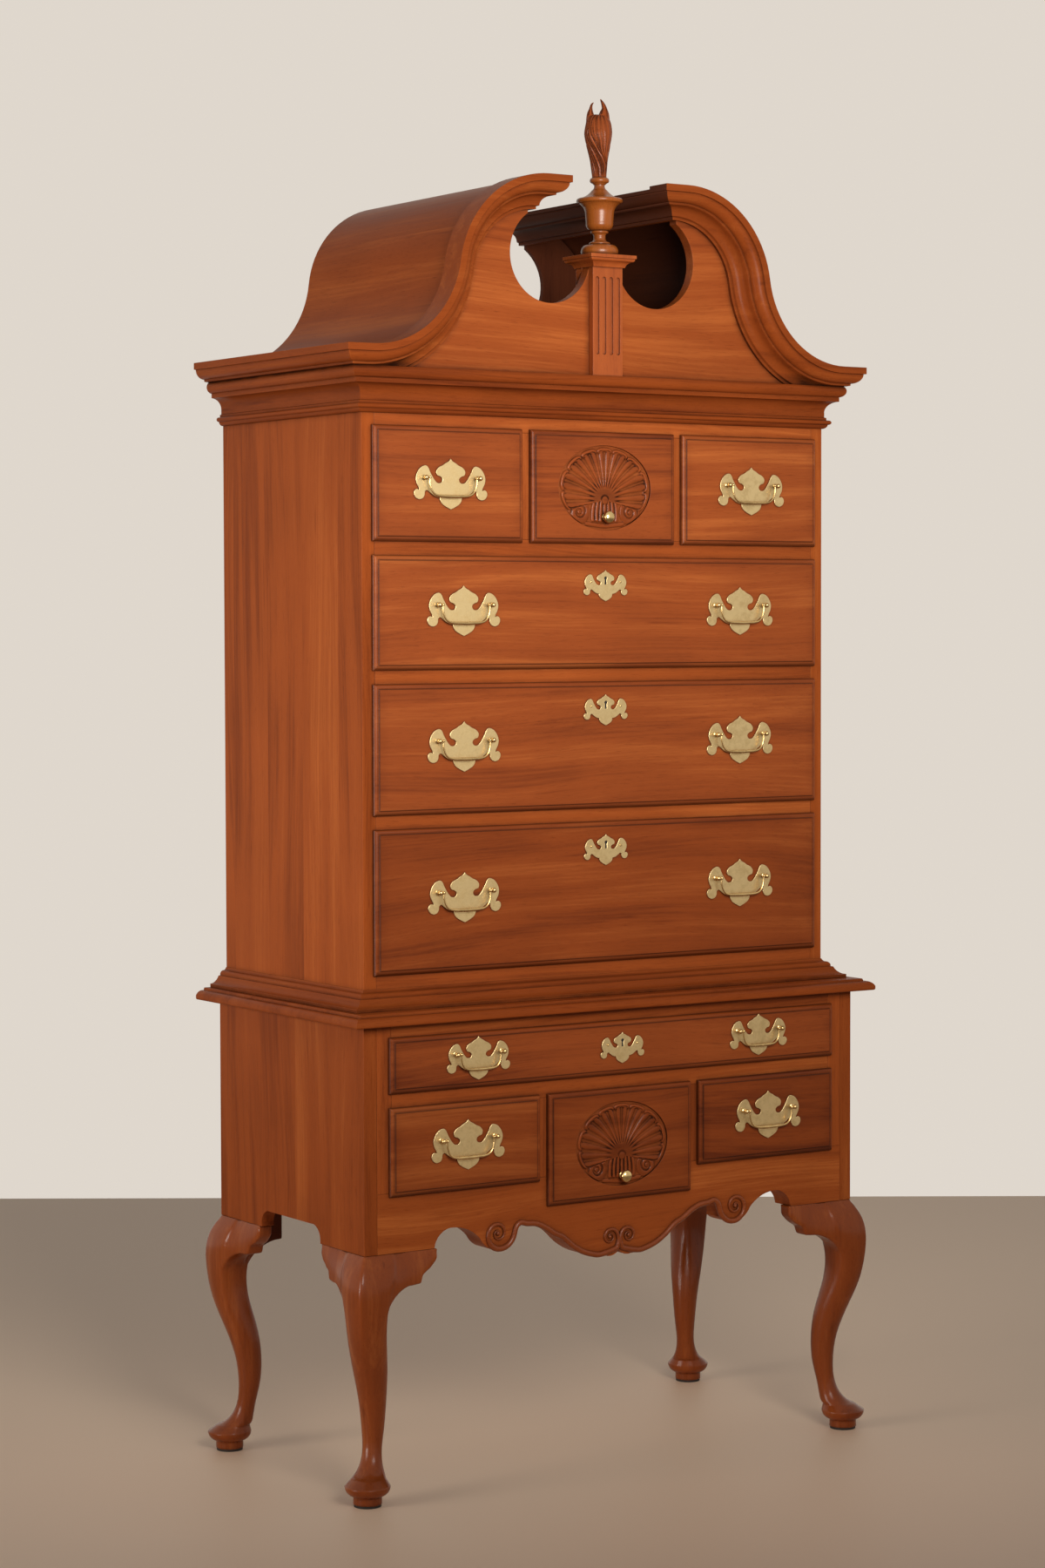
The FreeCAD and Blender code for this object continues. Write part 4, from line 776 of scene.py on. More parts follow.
# %% Sweep
def tube_faces(rings, sides):
    """The faces of a tube of rings, closed by fans about the two points that follow them."""
    faces = []
    for step in range(rings - 1):
        for k in range(sides):
            a, b = step * sides + k, step * sides + (k + 1) % sides
            faces.append((a, b, b + sides, a + sides))
    start, last = rings * sides, (rings - 1) * sides
    for k in range(sides):
        faces.append((start, (k + 1) % sides, k))
        faces.append((start + 1, last + k, last + (k + 1) % sides))
    return faces


def sweep(path, widths, depths=None, sides=16, up=None, lobes=0, lobe_depth=0.0):
    """Points and faces of a closed tube along a path.

    widths and depths are the half axes of its section.  up, if given, is the direction of
    the depth axis all along; otherwise the frame is carried along.  lobes ripple the section.
    """
    path = np.asarray(path, float)
    count = len(path)
    widths = np.broadcast_to(widths, count)
    depths = widths if depths is None else np.broadcast_to(depths, count)
    tangents = np.gradient(path, axis=0)
    tangents /= np.linalg.norm(tangents, axis=1)[:, None]
    angles = np.linspace(0, 2 * math.pi, sides, endpoint=False)
    ripple = 1 - lobe_depth * (0.5 - 0.5 * np.cos(lobes * angles))
    points = []
    normal = None
    for place, tangent, width, depth in zip(path, tangents, widths, depths):
        if up is not None:
            normal = np.cross(up, tangent)
        elif normal is None:
            normal = np.cross((0.31, 0.95, 0.11), tangent)
        normal = normal - tangent * normal.dot(tangent)
        normal /= np.linalg.norm(normal)
        second = np.cross(tangent, normal)
        wide = (np.cos(angles) * ripple * width)[:, None] * normal
        deep = (np.sin(angles) * ripple * depth)[:, None] * second
        points.append(place + (wide + deep))
    return np.concatenate(points + [path[:1], path[-1:]]), tube_faces(count, sides)


def turn_on_lathe(outline, centre, axis="z", sides=48):
    """Points and faces of a shape turned from (radius, height) pairs about an axis through a centre."""
    angles = np.linspace(0, 2 * math.pi, sides, endpoint=False)
    rings = [np.stack([r * np.cos(angles), r * np.sin(angles), np.full(sides, h)], 1) for r, h in outline]
    points = np.concatenate(rings + [[[0, 0, outline[0][1]]], [[0, 0, outline[-1][1]]]])
    if axis == "-y":
        points = np.stack([points[:, 0], -points[:, 2], points[:, 1]], 1)
    return points + np.asarray(centre), tube_faces(len(outline), sides)


def arc(radius, rise, start, end, count, base=0.0):
    """Part of an ellipse, as (radius, height) pairs for the lathe."""
    return [(radius * math.cos(a), base + rise * math.sin(a)) for a in np.linspace(start, end, count)]


def join_shapes(shapes):
    """Several sets of points and faces as one."""
    points, faces, offset = [], [], 0
    for some_points, some_faces in shapes:
        points.append(some_points)
        faces += [tuple(v + offset for v in face) for face in some_faces]
        offset += len(some_points)
    return np.concatenate(points), faces


def smooth_line(points, steps):
    """A smooth curve of many points through a few, evenly spaced."""
    points = np.asarray(points, float)
    padded = np.vstack([2 * points[0] - points[1], points, 2 * points[-1] - points[-2]])
    fine = []
    for a, b, c, d in zip(padded, padded[1:], padded[2:], padded[3:]):
        for t in np.linspace(0, 1, 24, endpoint=False):
            fine.append(0.5 * (2 * b + (c - a) * t + (2 * a - 5 * b + 4 * c - d) * t ** 2
                               + (3 * b - a - 3 * c + d) * t ** 3))
    fine = np.vstack([fine, points[-1]])
    walked = np.concatenate([[0], np.cumsum(np.linalg.norm(np.diff(fine, axis=0), axis=1))])
    wanted = np.linspace(0, walked[-1], steps)
    return np.stack([np.interp(wanted, walked, fine[:, axis]) for axis in range(fine.shape[1])], axis=1)


print("sweep, lathe and smooth line ready")

# %% [markdown]
# ## One skin for a carved knee
# A cabriole leg and its two knee blocks are glued up first and then carved as one, so the
# joint between them can't be felt.  The three solids are grown into one skin by a voxel
# remesh.  Below the knee the skin is laid back on the exact turned and shaped surface; about
# the knee it is rubbed down a little, as a rasp and scraper do, which blends the blocks in.

# %% Skins and neighbours
def ramp(value, low, high):
    """Smooth change from 0 to 1."""
    t = np.clip((value - low) / (high - low), 0, 1)
    return t * t * (3 - 2 * t)


def remeshed(points, faces, voxel, smoothing):
    """The given shapes grown into one skin."""
    mesh = bpy.data.meshes.new("parts")
    mesh.from_pydata([tuple(p) for p in points], [], faces)
    thing = new_object("parts", mesh)
    skin = thing.modifiers.new("skin", "REMESH")
    skin.mode = "VOXEL"
    skin.voxel_size = voxel
    soft = thing.modifiers.new("soft", "SMOOTH")
    soft.factor = 0.5
    soft.iterations = smoothing
    result = bpy.data.meshes.new_from_object(thing.evaluated_get(bpy.context.evaluated_depsgraph_get()))
    bpy.data.objects.remove(thing)
    for face in result.polygons:
        face.use_smooth = True
    return result


def neighbour_mean(mesh):
    """A function that gives each point the mean of its neighbours."""
    ends = np.empty(len(mesh.edges) * 2, np.int64)
    mesh.edges.foreach_get("vertices", ends)
    first, second = ends.reshape(-1, 2).T
    size = len(mesh.vertices)
    count = np.maximum(np.bincount(ends, minlength=size), 1)

    def mean(values):
        columns = []
        for axis in range(3):
            ahead = np.bincount(first, values[second, axis], size)
            behind = np.bincount(second, values[first, axis], size)
            columns.append((ahead + behind) / count)
        return np.stack(columns, 1)

    return mean


def mark_hollows(mesh, rounds, deep):
    """Stores how hollow each point is: how far its wider surroundings stand out over it."""
    places = mesh_places(mesh)
    normals = np.empty(len(mesh.vertices) * 3)
    mesh.vertices.foreach_get("normal", normals)
    mean = neighbour_mean(mesh)
    smooth = places
    for _ in range(rounds):
        smooth = 0.3 * smooth + 0.7 * mean(smooth)
    stands = ((smooth - places) * normals.reshape(-1, 3)).sum(1)
    put_attribute(mesh, "hollow", "FLOAT", ramp(stands, 0.0, deep))


print("helpers for skins ready")

# %% Legs
LEG_VOXEL = 0.0016
RUBBED_FROM, RUBBED_FULL = 0.20, 0.26
KEPT_TOP = 0.004
STROKES, STROKE = 14, 0.6
leg_low, leg_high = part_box("cabriole_legs")


def knee_and_leg(parts):
    """Points and faces of one skin over a leg and its knee blocks."""
    points, faces = join_shapes(parts)
    mesh = remeshed(points, faces, LEG_VOXEL, 0)
    places = mesh_places(mesh)
    true_skin = BVHTree.FromPolygons([tuple(p) for p in points], faces)
    for index in np.flatnonzero(places[:, 2] < RUBBED_FULL):
        nearest = true_skin.find_nearest(places[index])[0]
        share = ramp(places[index, 2], RUBBED_FROM, RUBBED_FULL)
        places[index] = places[index] * share + np.array(nearest) * (1 - share)
    below_top = ramp(places[:, 2], leg_high[2], leg_high[2] - KEPT_TOP)
    rub = (ramp(places[:, 2], RUBBED_FROM, RUBBED_FULL) * below_top)[:, None]
    mean = neighbour_mean(mesh)
    for _ in range(STROKES):
        places += rub * STROKE * (mean(places) - places)
    places[:, 2] = np.clip(places[:, 2], leg_low[2], leg_high[2])
    return places, [tuple(polygon.vertices) for polygon in mesh.polygons]


corners = {}
for places, faces in solids_of("cabriole_legs"):
    middle = places.mean(0)
    corner_name = f"{'right' if middle[0] > 0 else 'left'}_{'back' if middle[1] > 0 else 'front'}"
    corners.setdefault(corner_name, []).append((places, faces))
legs = []
for corner_name, parts in corners.items():
    mesh = shape_mesh(*knee_and_leg(parts), TURNED_CREASE, merge=False)
    name = f"cabriole_leg_{corner_name}"
    legs.append(add_piece(name, mesh, "z", "case", "case_wood", leg_wood, "cabriole_legs"))
    print(name, len(mesh.polygons), "faces")

# %% The inner faces of the knee blocks are painted dark, as the shade under the case
KNEE_FROM = 0.27
FRAME_HALF_W, FRAME_HALF_D = 0.435, 0.185


def under_the_case(normal, centre):
    """Whether a face of a knee looks in under the case."""
    looks_in_y = normal.y * centre.y < -0.1 and abs(centre.x) < FRAME_HALF_W
    looks_in_x = normal.x * centre.x < -0.2 and abs(centre.y) < FRAME_HALF_D
    return centre.z > KNEE_FROM and (looks_in_y or looks_in_x)


stain_and_shade(legs, under_the_case)
print("stained and shaded the inside of", len(legs), "knees")

# %% [markdown]
# ## The carved shells
# Two small drawers carry a shell, carved into the wood of the front inside an oval.  A
# carver sets the oval in with a groove, dishes the fan, runs the flutes from the hub to
# the scalloped rim, and finishes below with a stem of reeds between two volutes.  All of
# that is one height for every point of the oval, so the carving is a formula: a fine polar
# net of points, each pushed in or out along the depth of the board.

# %% The height of the carving
FAN_START, FAN_END = math.radians(-14), math.radians(194)
LOBES = 9
HUB_DROP, HUB_RADIUS, HUB_RISE = 0.020, 0.011, 0.0042
FLUTE_DEEP = 0.0031
RIM, RIM_RISE = 0.935, 0.0026
REED_RISE = 0.0031
VOLUTE_ASIDE, VOLUTE_DROP, VOLUTE_SIZE, VOLUTE_RISE = 0.0515, 0.0405, 0.0215, 0.0036
BRACKET_HALF, BRACKET_RISE = 0.0042, 0.0030
FLOOR_DEEP = 0.0036


def ridge(turns):
    """Rounded ridges with sharp valleys, one per turn."""
    return np.sqrt(np.abs(np.sin(np.pi * turns)))


def dome(share):
    """A half circle: 1 at its middle, 0 from its edge on."""
    return np.sqrt(np.clip(1 - share ** 2, 0, 1))


def volute_height(dx, dz):
    """A ridge that winds in to a button, in metres above the floor of the carving."""
    radius = np.maximum(np.hypot(dx, dz), 1e-5)
    turns = (np.arctan2(dz, dx) + math.pi * 0.55) / (2 * math.pi) - np.log(radius / VOLUTE_SIZE) / 0.62 / 1.55
    bead = ridge(turns) * VOLUTE_RISE
    button = VOLUTE_RISE * ramp(radius, VOLUTE_SIZE * 0.26, VOLUTE_SIZE * 0.12)
    winding_in = np.where(radius < VOLUTE_SIZE * 0.26, button, bead)
    return winding_in * ramp(radius, VOLUTE_SIZE * 1.04, VOLUTE_SIZE * 0.96)


def shell_height(x, z, half_w, half_h):
    """Height of the carving above its floor, at points measured from the middle of the oval."""
    # direction and distance from the hub, and how far the edge of the oval is that way
    dz = z + HUB_DROP
    angle = np.arctan2(dz, x)
    angle = np.where(angle < -math.pi / 2, angle + 2 * math.pi, angle)
    radius = np.hypot(x, dz)
    cosine, sine = np.cos(angle) / half_w, np.sin(angle) / half_h
    square, cross, rest = cosine ** 2 + sine ** 2, -sine * HUB_DROP / half_h, (HUB_DROP / half_h) ** 2 - 1
    edge = (-cross + np.sqrt(cross ** 2 - square * rest)) / square
    bent = angle + 0.20 * np.sin(2 * (angle - math.pi / 2)) * np.clip(1 - radius / edge, 0, 1)
    along = (bent - FAN_START) / (FAN_END - FAN_START)
    in_fan = (angle > FAN_START) & (angle < FAN_END) & (along > 0) & (along < 1)
    lobe = np.abs((along * LOBES) % 1 - 0.5) * 2
    share = radius / (edge * 0.965 * (1 - 0.055 * lobe ** 4))

    # the dished fan with its flutes, its rolled rim, and the hub
    flute = np.abs(np.sin(np.pi * along * LOBES * 2)) ** 1.25
    deep = 0.7 + 0.3 * ramp(lobe, 0.3, 0.9)
    dish = 0.0034 - 0.0008 * ramp(share, 0.1, 0.45) + 0.0006 * ramp(share, 0.55, 0.85)
    cut = FLUTE_DEEP * deep * (1 - flute) * ramp(share, 0.20, 0.50) * ramp(share, RIM + 0.01, RIM - 0.03)
    fan = dish - cut
    rim_share = (share - RIM) / (1 - RIM)
    rim = 0.0012 + RIM_RISE * dome(2 * rim_share - 1) * (1 - 0.75 * ramp(lobe, 0.80, 1.0))
    fan = np.where(share > RIM, rim, fan)
    fan = np.where(share < 1, fan, 0)
    hub = HUB_RISE * dome(radius / HUB_RADIUS)
    height = np.where(in_fan, np.maximum(fan, hub), hub * 0.9)

    # the stem of reeds, the two volutes, and the bracket below them
    spread = 0.024 + 0.25 * np.clip(-dz, 0, 1) - 9.0 * np.clip(-dz - 0.012, 0, 1) ** 2
    reed = x / spread
    stem = 0.0004 + REED_RISE * ridge(reed * 3.5 + 0.5)
    stem_in = (np.abs(reed) < 1) & (dz < 0.001) & (z > -half_h * 0.80)
    height = np.where(stem_in & ~in_fan, np.maximum(stem, hub), height)
    for hand in (-1, 1):
        eye_x, eye_z = x - hand * VOLUTE_ASIDE, z + VOLUTE_DROP
        in_volute = np.hypot(eye_x, eye_z) < VOLUTE_SIZE
        height = np.where(in_volute & ~in_fan, volute_height(-hand * eye_x, eye_z), height)
    curve = z + half_h * 0.90 - 0.10 * np.abs(x)
    bracket = BRACKET_RISE * dome(curve / BRACKET_HALF)
    height = np.maximum(height, np.where((np.abs(x) < 0.040), bracket, 0))
    return height * ramp((x / half_w) ** 2 + (z / half_h) ** 2, 0.985, 0.955)


print("shell of", LOBES, "lobes")

# %% Carve the two shells
RINGS, SPOKES = 96, 420
SHELL_HALF_W, SHELL_HALF_H = 0.094, 0.071
SET_IN = 0.00015
SKIRT_DEEP = 0.0003


def shell_hollows(x, z, half_w, half_h):
    """Where glaze and painted shade darken the carving: 1 in its valleys and on its floor, 0 on its ridges.
    """
    here = shell_height(x, z, half_w, half_h)
    below = np.zeros_like(here)
    for reach in (0.0012, 0.0026, 0.0044):
        around = sum(shell_height(x + reach * math.cos(a), z + reach * math.sin(a), half_w, half_h)
                     for a in np.linspace(0, 2 * math.pi, 12, endpoint=False)) / 12
        below = np.maximum(below, ramp(around - here, -0.00014, 0.00016))
    return np.maximum(below, ramp(here, 0.0023, 0.0010))


def carve_shell(drawer):
    """The carving that fills the oval of a small drawer front."""
    low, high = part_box(f"{drawer}_front")
    middle_x, middle_z = (low[0] + high[0]) / 2, (low[2] + high[2]) / 2
    floor_y = low[1] + FLOOR_DEEP
    half_w, half_h = SHELL_HALF_W - SET_IN, SHELL_HALF_H - SET_IN
    shares = np.linspace(0, 1, RINGS + 1)[1:] ** 0.8
    angles = np.linspace(0, 2 * math.pi, SPOKES, endpoint=False)
    x = np.outer(shares, np.cos(angles)) * half_w
    z = np.outer(shares, np.sin(angles)) * half_h
    height = shell_height(x, z, half_w, half_h)
    for _ in range(2):
        inner = height[1:-1]
        height[1:-1] = (2 * inner + height[:-2] + height[2:]
                        + np.roll(inner, 1, 1) + np.roll(inner, -1, 1)) / 6
    top = np.stack([x + middle_x, floor_y - height, z + middle_z], 2).reshape(-1, 3)
    skirt = top[-SPOKES:].copy()
    skirt[:, 1] = floor_y + SKIRT_DEEP
    hub_height = shell_height(np.zeros(1), np.zeros(1), half_w, half_h)[0]
    ends = [[middle_x, floor_y - hub_height, middle_z], [middle_x, skirt[0, 1], middle_z]]
    points = np.concatenate([top, skirt, ends])
    mesh = shape_mesh(points, tube_faces(RINGS + 1, SPOKES), CARVED_CREASE, merge=False)
    hollows = shell_hollows(x, z, half_w, half_h).ravel()
    # the valleys, the floor and the skirt take the glaze and the painted shade
    put_attribute(mesh, "hollow", "FLOAT", np.concatenate([hollows, np.ones(SPOKES), [0, 1]]))
    return add_piece(f"{drawer}_carving", mesh, "x", f"{drawer}_drawer", "drawer_front_wood", carved_wood)


for drawer in DRAWERS:
    if drawer.endswith("_shell"):
        carving = carve_shell(drawer)
        print(carving.name, len(carving.data.polygons), "faces")

# %% [markdown]
# ## The bead and the volutes of the apron
# The middle of the apron is edged by a carved bead that starts in one volute and ends in
# another.  It is a half-round section swept along the sawn edge, a little inside it, and
# both ends wind in as logarithmic curves to a button.

# %% Apron bead
BEAD_HALF = 0.0050
BEAD_RISE = 0.0054
BEAD_SINK = 0.0002
BUTTON_RISE = 1.15
apron_foot = leg_high[2]
bead_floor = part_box("lower_face_frame")[0][1] + BEAD_SINK
outer_eye = (0.2440, apron_foot + 0.013)
inner_eye = (0.0190, apron_foot - 0.0150)


def winding(centre, start_turn, turns, radii, hand):
    """Points on a curve that winds in about a centre, from its outside to its middle."""
    share = np.linspace(0, 1, 90)
    radius = np.interp(share, np.linspace(0, 1, len(radii)), radii)
    angle = start_turn + hand * 2 * math.pi * turns * share
    return np.stack([centre[0] + radius * np.cos(angle), centre[1] + radius * np.sin(angle)], 1)


outer = winding(outer_eye, math.radians(180), 1.85,
                [0.0335, 0.0262, 0.0195, 0.0158, 0.0132, 0.0108, 0.0082, 0.0056, 0.0030], 1)[::-1]
inner = winding(inner_eye, math.radians(270), 1.75,
                [0.0270, 0.0165, 0.0122, 0.0104, 0.0088, 0.0070, 0.0048, 0.0026], -1)
edge_run = [(0.2075, 0.0205), (0.1985, 0.0268), (0.186, 0.0290 - BEAD_HALF), (0.168, 0.0268 - BEAD_HALF),
            (0.150, 0.0190 - BEAD_HALF), (0.132, 0.0075 - BEAD_HALF), (0.115, -0.0065 + 0.0008),
            (0.095, -0.0220), (0.075, -0.0338), (0.055, -0.0405), (0.038, -0.0427)]
run = np.array([(x, apron_foot + z) for x, z in edge_run])
bead_line = smooth_line(np.vstack([outer[::3], run, inner[4::3]]), 340)
from_outer = np.linalg.norm(bead_line - outer_eye, axis=1)
from_inner = np.linalg.norm(bead_line - inner_eye, axis=1)
thick = BEAD_HALF * np.minimum(np.clip(from_outer / 0.024, 0.36, 1), np.clip(from_inner / 0.021, 0.34, 1))
bead_shapes = []
for hand in (-1, 1):
    line = np.stack([hand * bead_line[:, 0], np.full(len(bead_line), bead_floor), bead_line[:, 1]], 1)
    bead_shapes.append(sweep(line, thick, BEAD_RISE * (0.35 + 0.65 * thick / BEAD_HALF), 14, up=(0, -1, 0)))
    for eye, size in ((outer_eye, 0.0042), (inner_eye, 0.0036)):
        button = arc(size, size * BUTTON_RISE, 0, math.pi / 2 - 0.05, 8)
        bead_shapes.append(turn_on_lathe(button, (hand * eye[0], bead_floor, eye[1]), "-y", 24))
for index, shape in enumerate(bead_shapes):
    mesh = shape_mesh(*shape, CARVED_CREASE, merge=False)
    add_piece(f"apron_bead_{index}", mesh, "x", "case", "case_wood", bead_wood)
print("apron bead of", len(bead_line), "steps and its buttons")

# %% [markdown]
# ## The flame
# The finial's flame is carved from one block: strands rise from the collar, wind round the
# body as it swells, and end in two hooked tips with a notch between them.  The body is a net
# round an upright line.  Its half width and lean come from a short table, and each point is
# pushed in between the strands, so the ridges are rounded and the valleys sharp, as a gouge
# leaves them.  The tips are swept, and a voxel remesh grows all into one skin.

# %% The body of the flame
flame_low, flame_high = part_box("finial_flame")
FLAME_H = flame_high[2] - flame_low[2]
BODY_TOP = 0.1058
# height, left edge, right edge
EDGE_TABLE = np.array([
    (0, -12.3, 11.8), (6, -13, 12.1), (20, -15, 13.5), (36.6, -18, 15.4), (52.8, -22, 18.4),
    (61, -24.2, 20.1), (70, -25.4, 21.3), (77, -25.3, 21.5), (85, -24.0, 20.8), (92, -22.6, 19.4),
    (97.5, -21, 17.2), (101.5, -18.5, 13), (104.3, -15.0, 6), (105.8, -9.5, -3.0)]) / 1000
# height, and how far across the valleys between four strands lie; from the last one the right lobe begins
VALLEY_TABLE = np.array([
    (0, -9.5, -3, 4, 9.6), (15, -10.5, -4, 4.5, 10.5), (28, -13.5, -8, 1, 9.5), (46, -19, -14.5, -7, 0.5),
    (59, -23.5, -20, -14.5, -4), (71, -25, -22.5, -18, -9.5), (82, -23.5, -21.5, -17, -11),
    (94, -22, -20, -15.5, -9), (102, -20, -18, -13, -5), (112, -18, -15, -9, 3)]) / 1000
STRANDS = 4
STRAND_DEEP, STRAND_HAIR = 0.0046, 0.0008
LOBE_DEEP, LOBE_HAIR, LOBE_HAIRS = 0.0040, 0.0016, 5
FLAME_EDGES = smooth_line(EDGE_TABLE, 240)
VALLEYS = smooth_line(VALLEY_TABLE, 240)


def at_height(table, column, height):
    """A column of a table, read off at a height."""
    return np.interp(height, table[:, 0], table[:, column])


def strand_depth(across, height, left, right):
    """How deep the gouge went at a point of the flame's front, and the same for its back."""
    marks = [left] + [at_height(VALLEYS, k, height) for k in range(1, STRANDS + 1)] + [right]
    depth = np.zeros_like(across)
    for k in range(STRANDS + 1):
        width = np.maximum(marks[k + 1] - marks[k], 0.0004)
        place = (across - marks[k]) / width
        inside = (place >= 0) & (place <= 1)
        room = ramp(width, 0.001, 0.006)
        arch = np.sqrt(np.clip(4 * place * (1 - place), 0, 1))
        if k == STRANDS:
            hair = np.abs(np.sin(np.pi * (place + 0.10 * np.sin(height * 60)) * LOBE_HAIRS)) ** 0.7
            cut = LOBE_DEEP * (1 - arch ** 0.6) * room + LOBE_HAIR * (1 - hair) * ramp(width, 0.006, 0.018)
        else:
            hair = np.abs(np.sin(np.pi * place * 2)) ** 0.7
            cut = STRAND_DEEP * (1 - arch) * room + STRAND_HAIR * (1 - hair) * room
        depth = np.where(inside, cut, depth)
    return depth * ramp(height, 0.0, 0.008)


def strand_net(angle, height):
    """The middle, the half width and the depth of the carving of the flame's body."""
    left, right = at_height(FLAME_EDGES, 1, height), at_height(FLAME_EDGES, 2, height)
    middle, half = (left + right) / 2, (right - left) / 2
    facing = np.where(np.cos(angle) >= 0, 1, -1)
    # the strands turn with the body, so the back carries the same pattern, turned half way round
    sideways = np.arcsin(np.clip(facing * np.sin(angle), -1, 1)) / (math.pi / 2)
    across = middle + half * (0.55 * sideways + 0.45 * facing * np.sin(angle))
    return middle, half, strand_depth(across, height, left, right)


def flame_body(steps=190, sides=320):
    """Points and faces of the body, in metres from the middle of the collar's top."""
    heights = np.linspace(0, BODY_TOP, steps)
    angles = np.linspace(0, 2 * math.pi, sides, endpoint=False)
    height, angle = np.meshgrid(heights, angles, indexing="ij")
    lean, half, depth = strand_net(angle, height)
    across = lean + (half - depth) * np.sin(angle)
    toward = (half * 0.9 - depth) * np.cos(angle)
    points = np.stack([across, toward, height], 2).reshape(-1, 3)
    return np.concatenate([points, [[0, 0, 0], [lean[-1, 0], 0, BODY_TOP]]]), tube_faces(steps, sides)


body_shape = flame_body()
print("flame body", len(body_shape[0]), "points")

# %% The two tips of the flame
FLAME_VOXEL = 0.0005
# across, toward the front, height, and half thickness, in millimetres
LEFT_TIP = [(-12.6, 0, 80, 9.5), (-13.6, -1, 92, 9.2), (-14.6, -1, 101, 7.6), (-15.0, 0, 108, 5.7),
            (-14.4, 1, 114, 3.4), (-13.7, 1, 119, 2.4), (-12.2, 0.5, 123, 1.7), (-9.6, 0, 125.6, 0.8)]
RIGHT_TIP = [(5.6, 0, 80, 12), (6.4, 1, 92, 11.8), (7.4, 1, 101, 10.4), (8.2, 0, 109, 8.2),
             (8.4, -1, 116, 4.9), (7.0, -1, 121, 3.7), (4.8, -0.5, 126, 2.5),
             (1.8, 0, FLAME_H * 1000 - 0.8, 0.9)]


def flame_tip(stations):
    """A tapered, fluted hook."""
    line = smooth_line(np.array(stations) / 1000, 48)
    return sweep(line[:, :3], line[:, 3], sides=36, lobes=5, lobe_depth=0.26)


flame_shape = join_shapes([body_shape, flame_tip(LEFT_TIP), flame_tip(RIGHT_TIP)])
flame_mesh = remeshed(*flame_shape, FLAME_VOXEL, 1)
print("flame", len(flame_mesh.polygons), "faces")

# %% Place the flame
flame_foot = Vector((0.0, (flame_low[1] + flame_high[1]) / 2, flame_low[2]))
for vertex in flame_mesh.vertices:
    u, v, height = vertex.co
    vertex.co = flame_foot + view_right * u - view_flat * v + Vector((0, 0, min(max(height, 0.0), FLAME_H)))
# the flame's hollows take the glaze and the painted shade
mark_hollows(flame_mesh, 18, 0.00028)
add_piece("finial_flame_carving", flame_mesh, "z", "case", "finial_wood", carved_wood, "finial_flame")
print("flame is", round(FLAME_H * 1000), "mm tall")

# %% The turned urn
for places, faces in solids_of("finial_urn"):
    mesh = shape_mesh(places, faces, merge=False)
    add_piece("finial_urn_turning", mesh, "z", "case", "finial_wood", turned_wood, "finial_urn")
print("urn", len(mesh.polygons), "faces")

# %% [markdown]
# ## Plates, posts and keyholes
# Each plate is a flat casting with a filed bevel.  The solid gives its place and its size,
# and the outline of its wings is a chain of smooth runs between cusps, as a file leaves
# them.  A flat curve with a bevel gives it its thickness and its rounded arris; on the
# shields the keyhole is a second loop, which the curve cuts out.

# %% The outline of a plate
PLATE_T = 0.002
PLATE_BEVEL = 0.00055
CAST_WELD = 0.000004
# half of the outline, from the top point round the wing to the bottom point, in halves of the width;
# each row is one sweep of the file between two cusps
PLATE_RUNS = [
    [(0, 0.584), (0.055, 0.525), (0.135, 0.485)],
    [(0.135, 0.485), (0.21, 0.435), (0.32, 0.385), (0.392, 0.300), (0.372, 0.205), (0.290, 0.172),
     (0.236, 0.130), (0.232, 0.070), (0.285, 0.022), (0.372, 0.028), (0.447, 0.098), (0.510, 0.190),
     (0.560, 0.275), (0.594, 0.352)],
    [(0.594, 0.352), (0.640, 0.405), (0.706, 0.418), (0.812, 0.372), (0.900, 0.270), (0.945, 0.140),
     (0.926, 0.015), (0.872, -0.085), (0.858, -0.140)],
    [(0.858, -0.140), (0.925, -0.122), (0.983, -0.165), (0.995, -0.240), (0.950, -0.322), (0.856, -0.362),
     (0.760, -0.334), (0.712, -0.262), (0.700, -0.180), (0.640, -0.150), (0.560, -0.205), (0.460, -0.270),
     (0.375, -0.300), (0.300, -0.312)],
    [(0.300, -0.312), (0.290, -0.380), (0.240, -0.455), (0.140, -0.520), (0, -0.584)],
]


def plate_outline(low, high):
    """The outline of a plate that fills the box from low to high, as (x, z)."""
    half = []
    for run in PLATE_RUNS:
        half += [tuple(point) for point in smooth_line(np.array(run, float), 7 * len(run))[:-1]]
    right = np.array(half + [PLATE_RUNS[-1][-1]])
    left = right[-2:0:-1] * (-1, 1)
    loop = np.vstack([right, left]) * ((high[0] - low[0]) / 2, (high[2] - low[2]) / 2 / right[0, 1])
    return [(x + (low[0] + high[0]) / 2, z + (low[2] + high[2]) / 2) for x, z in loop]


def cast_plate(loops, front, thick, bevel):
    """A flat casting with rounded arrises; the first loop is its outline, the others are holes."""
    curve = bpy.data.curves.new("casting", "CURVE")
    curve.dimensions = "2D"
    curve.fill_mode = "BOTH"
    curve.extrude = thick / 2 - bevel
    curve.bevel_depth = bevel
    curve.bevel_resolution = 2
    curve.offset = -bevel
    for loop in loops:
        spline = curve.splines.new("POLY")
        spline.points.add(len(loop) - 1)
        for point, (x, z) in zip(spline.points, loop):
            point.co = (x, z, 0, 1)
        spline.use_cyclic_u = True
    holder = new_object("casting", curve)
    mesh = bpy.data.meshes.new_from_object(holder.evaluated_get(bpy.context.evaluated_depsgraph_get()))
    bpy.data.objects.remove(holder)
    work = bmesh.new()
    work.from_mesh(mesh)
    bmesh.ops.remove_doubles(work, verts=work.verts, dist=CAST_WELD)
    for vertex in work.verts:
        vertex.co = (vertex.co.x, front + thick / 2 - vertex.co.z, vertex.co.y)
    finish_mesh(work, mesh, CREASE, flat_front=True)
    return mesh


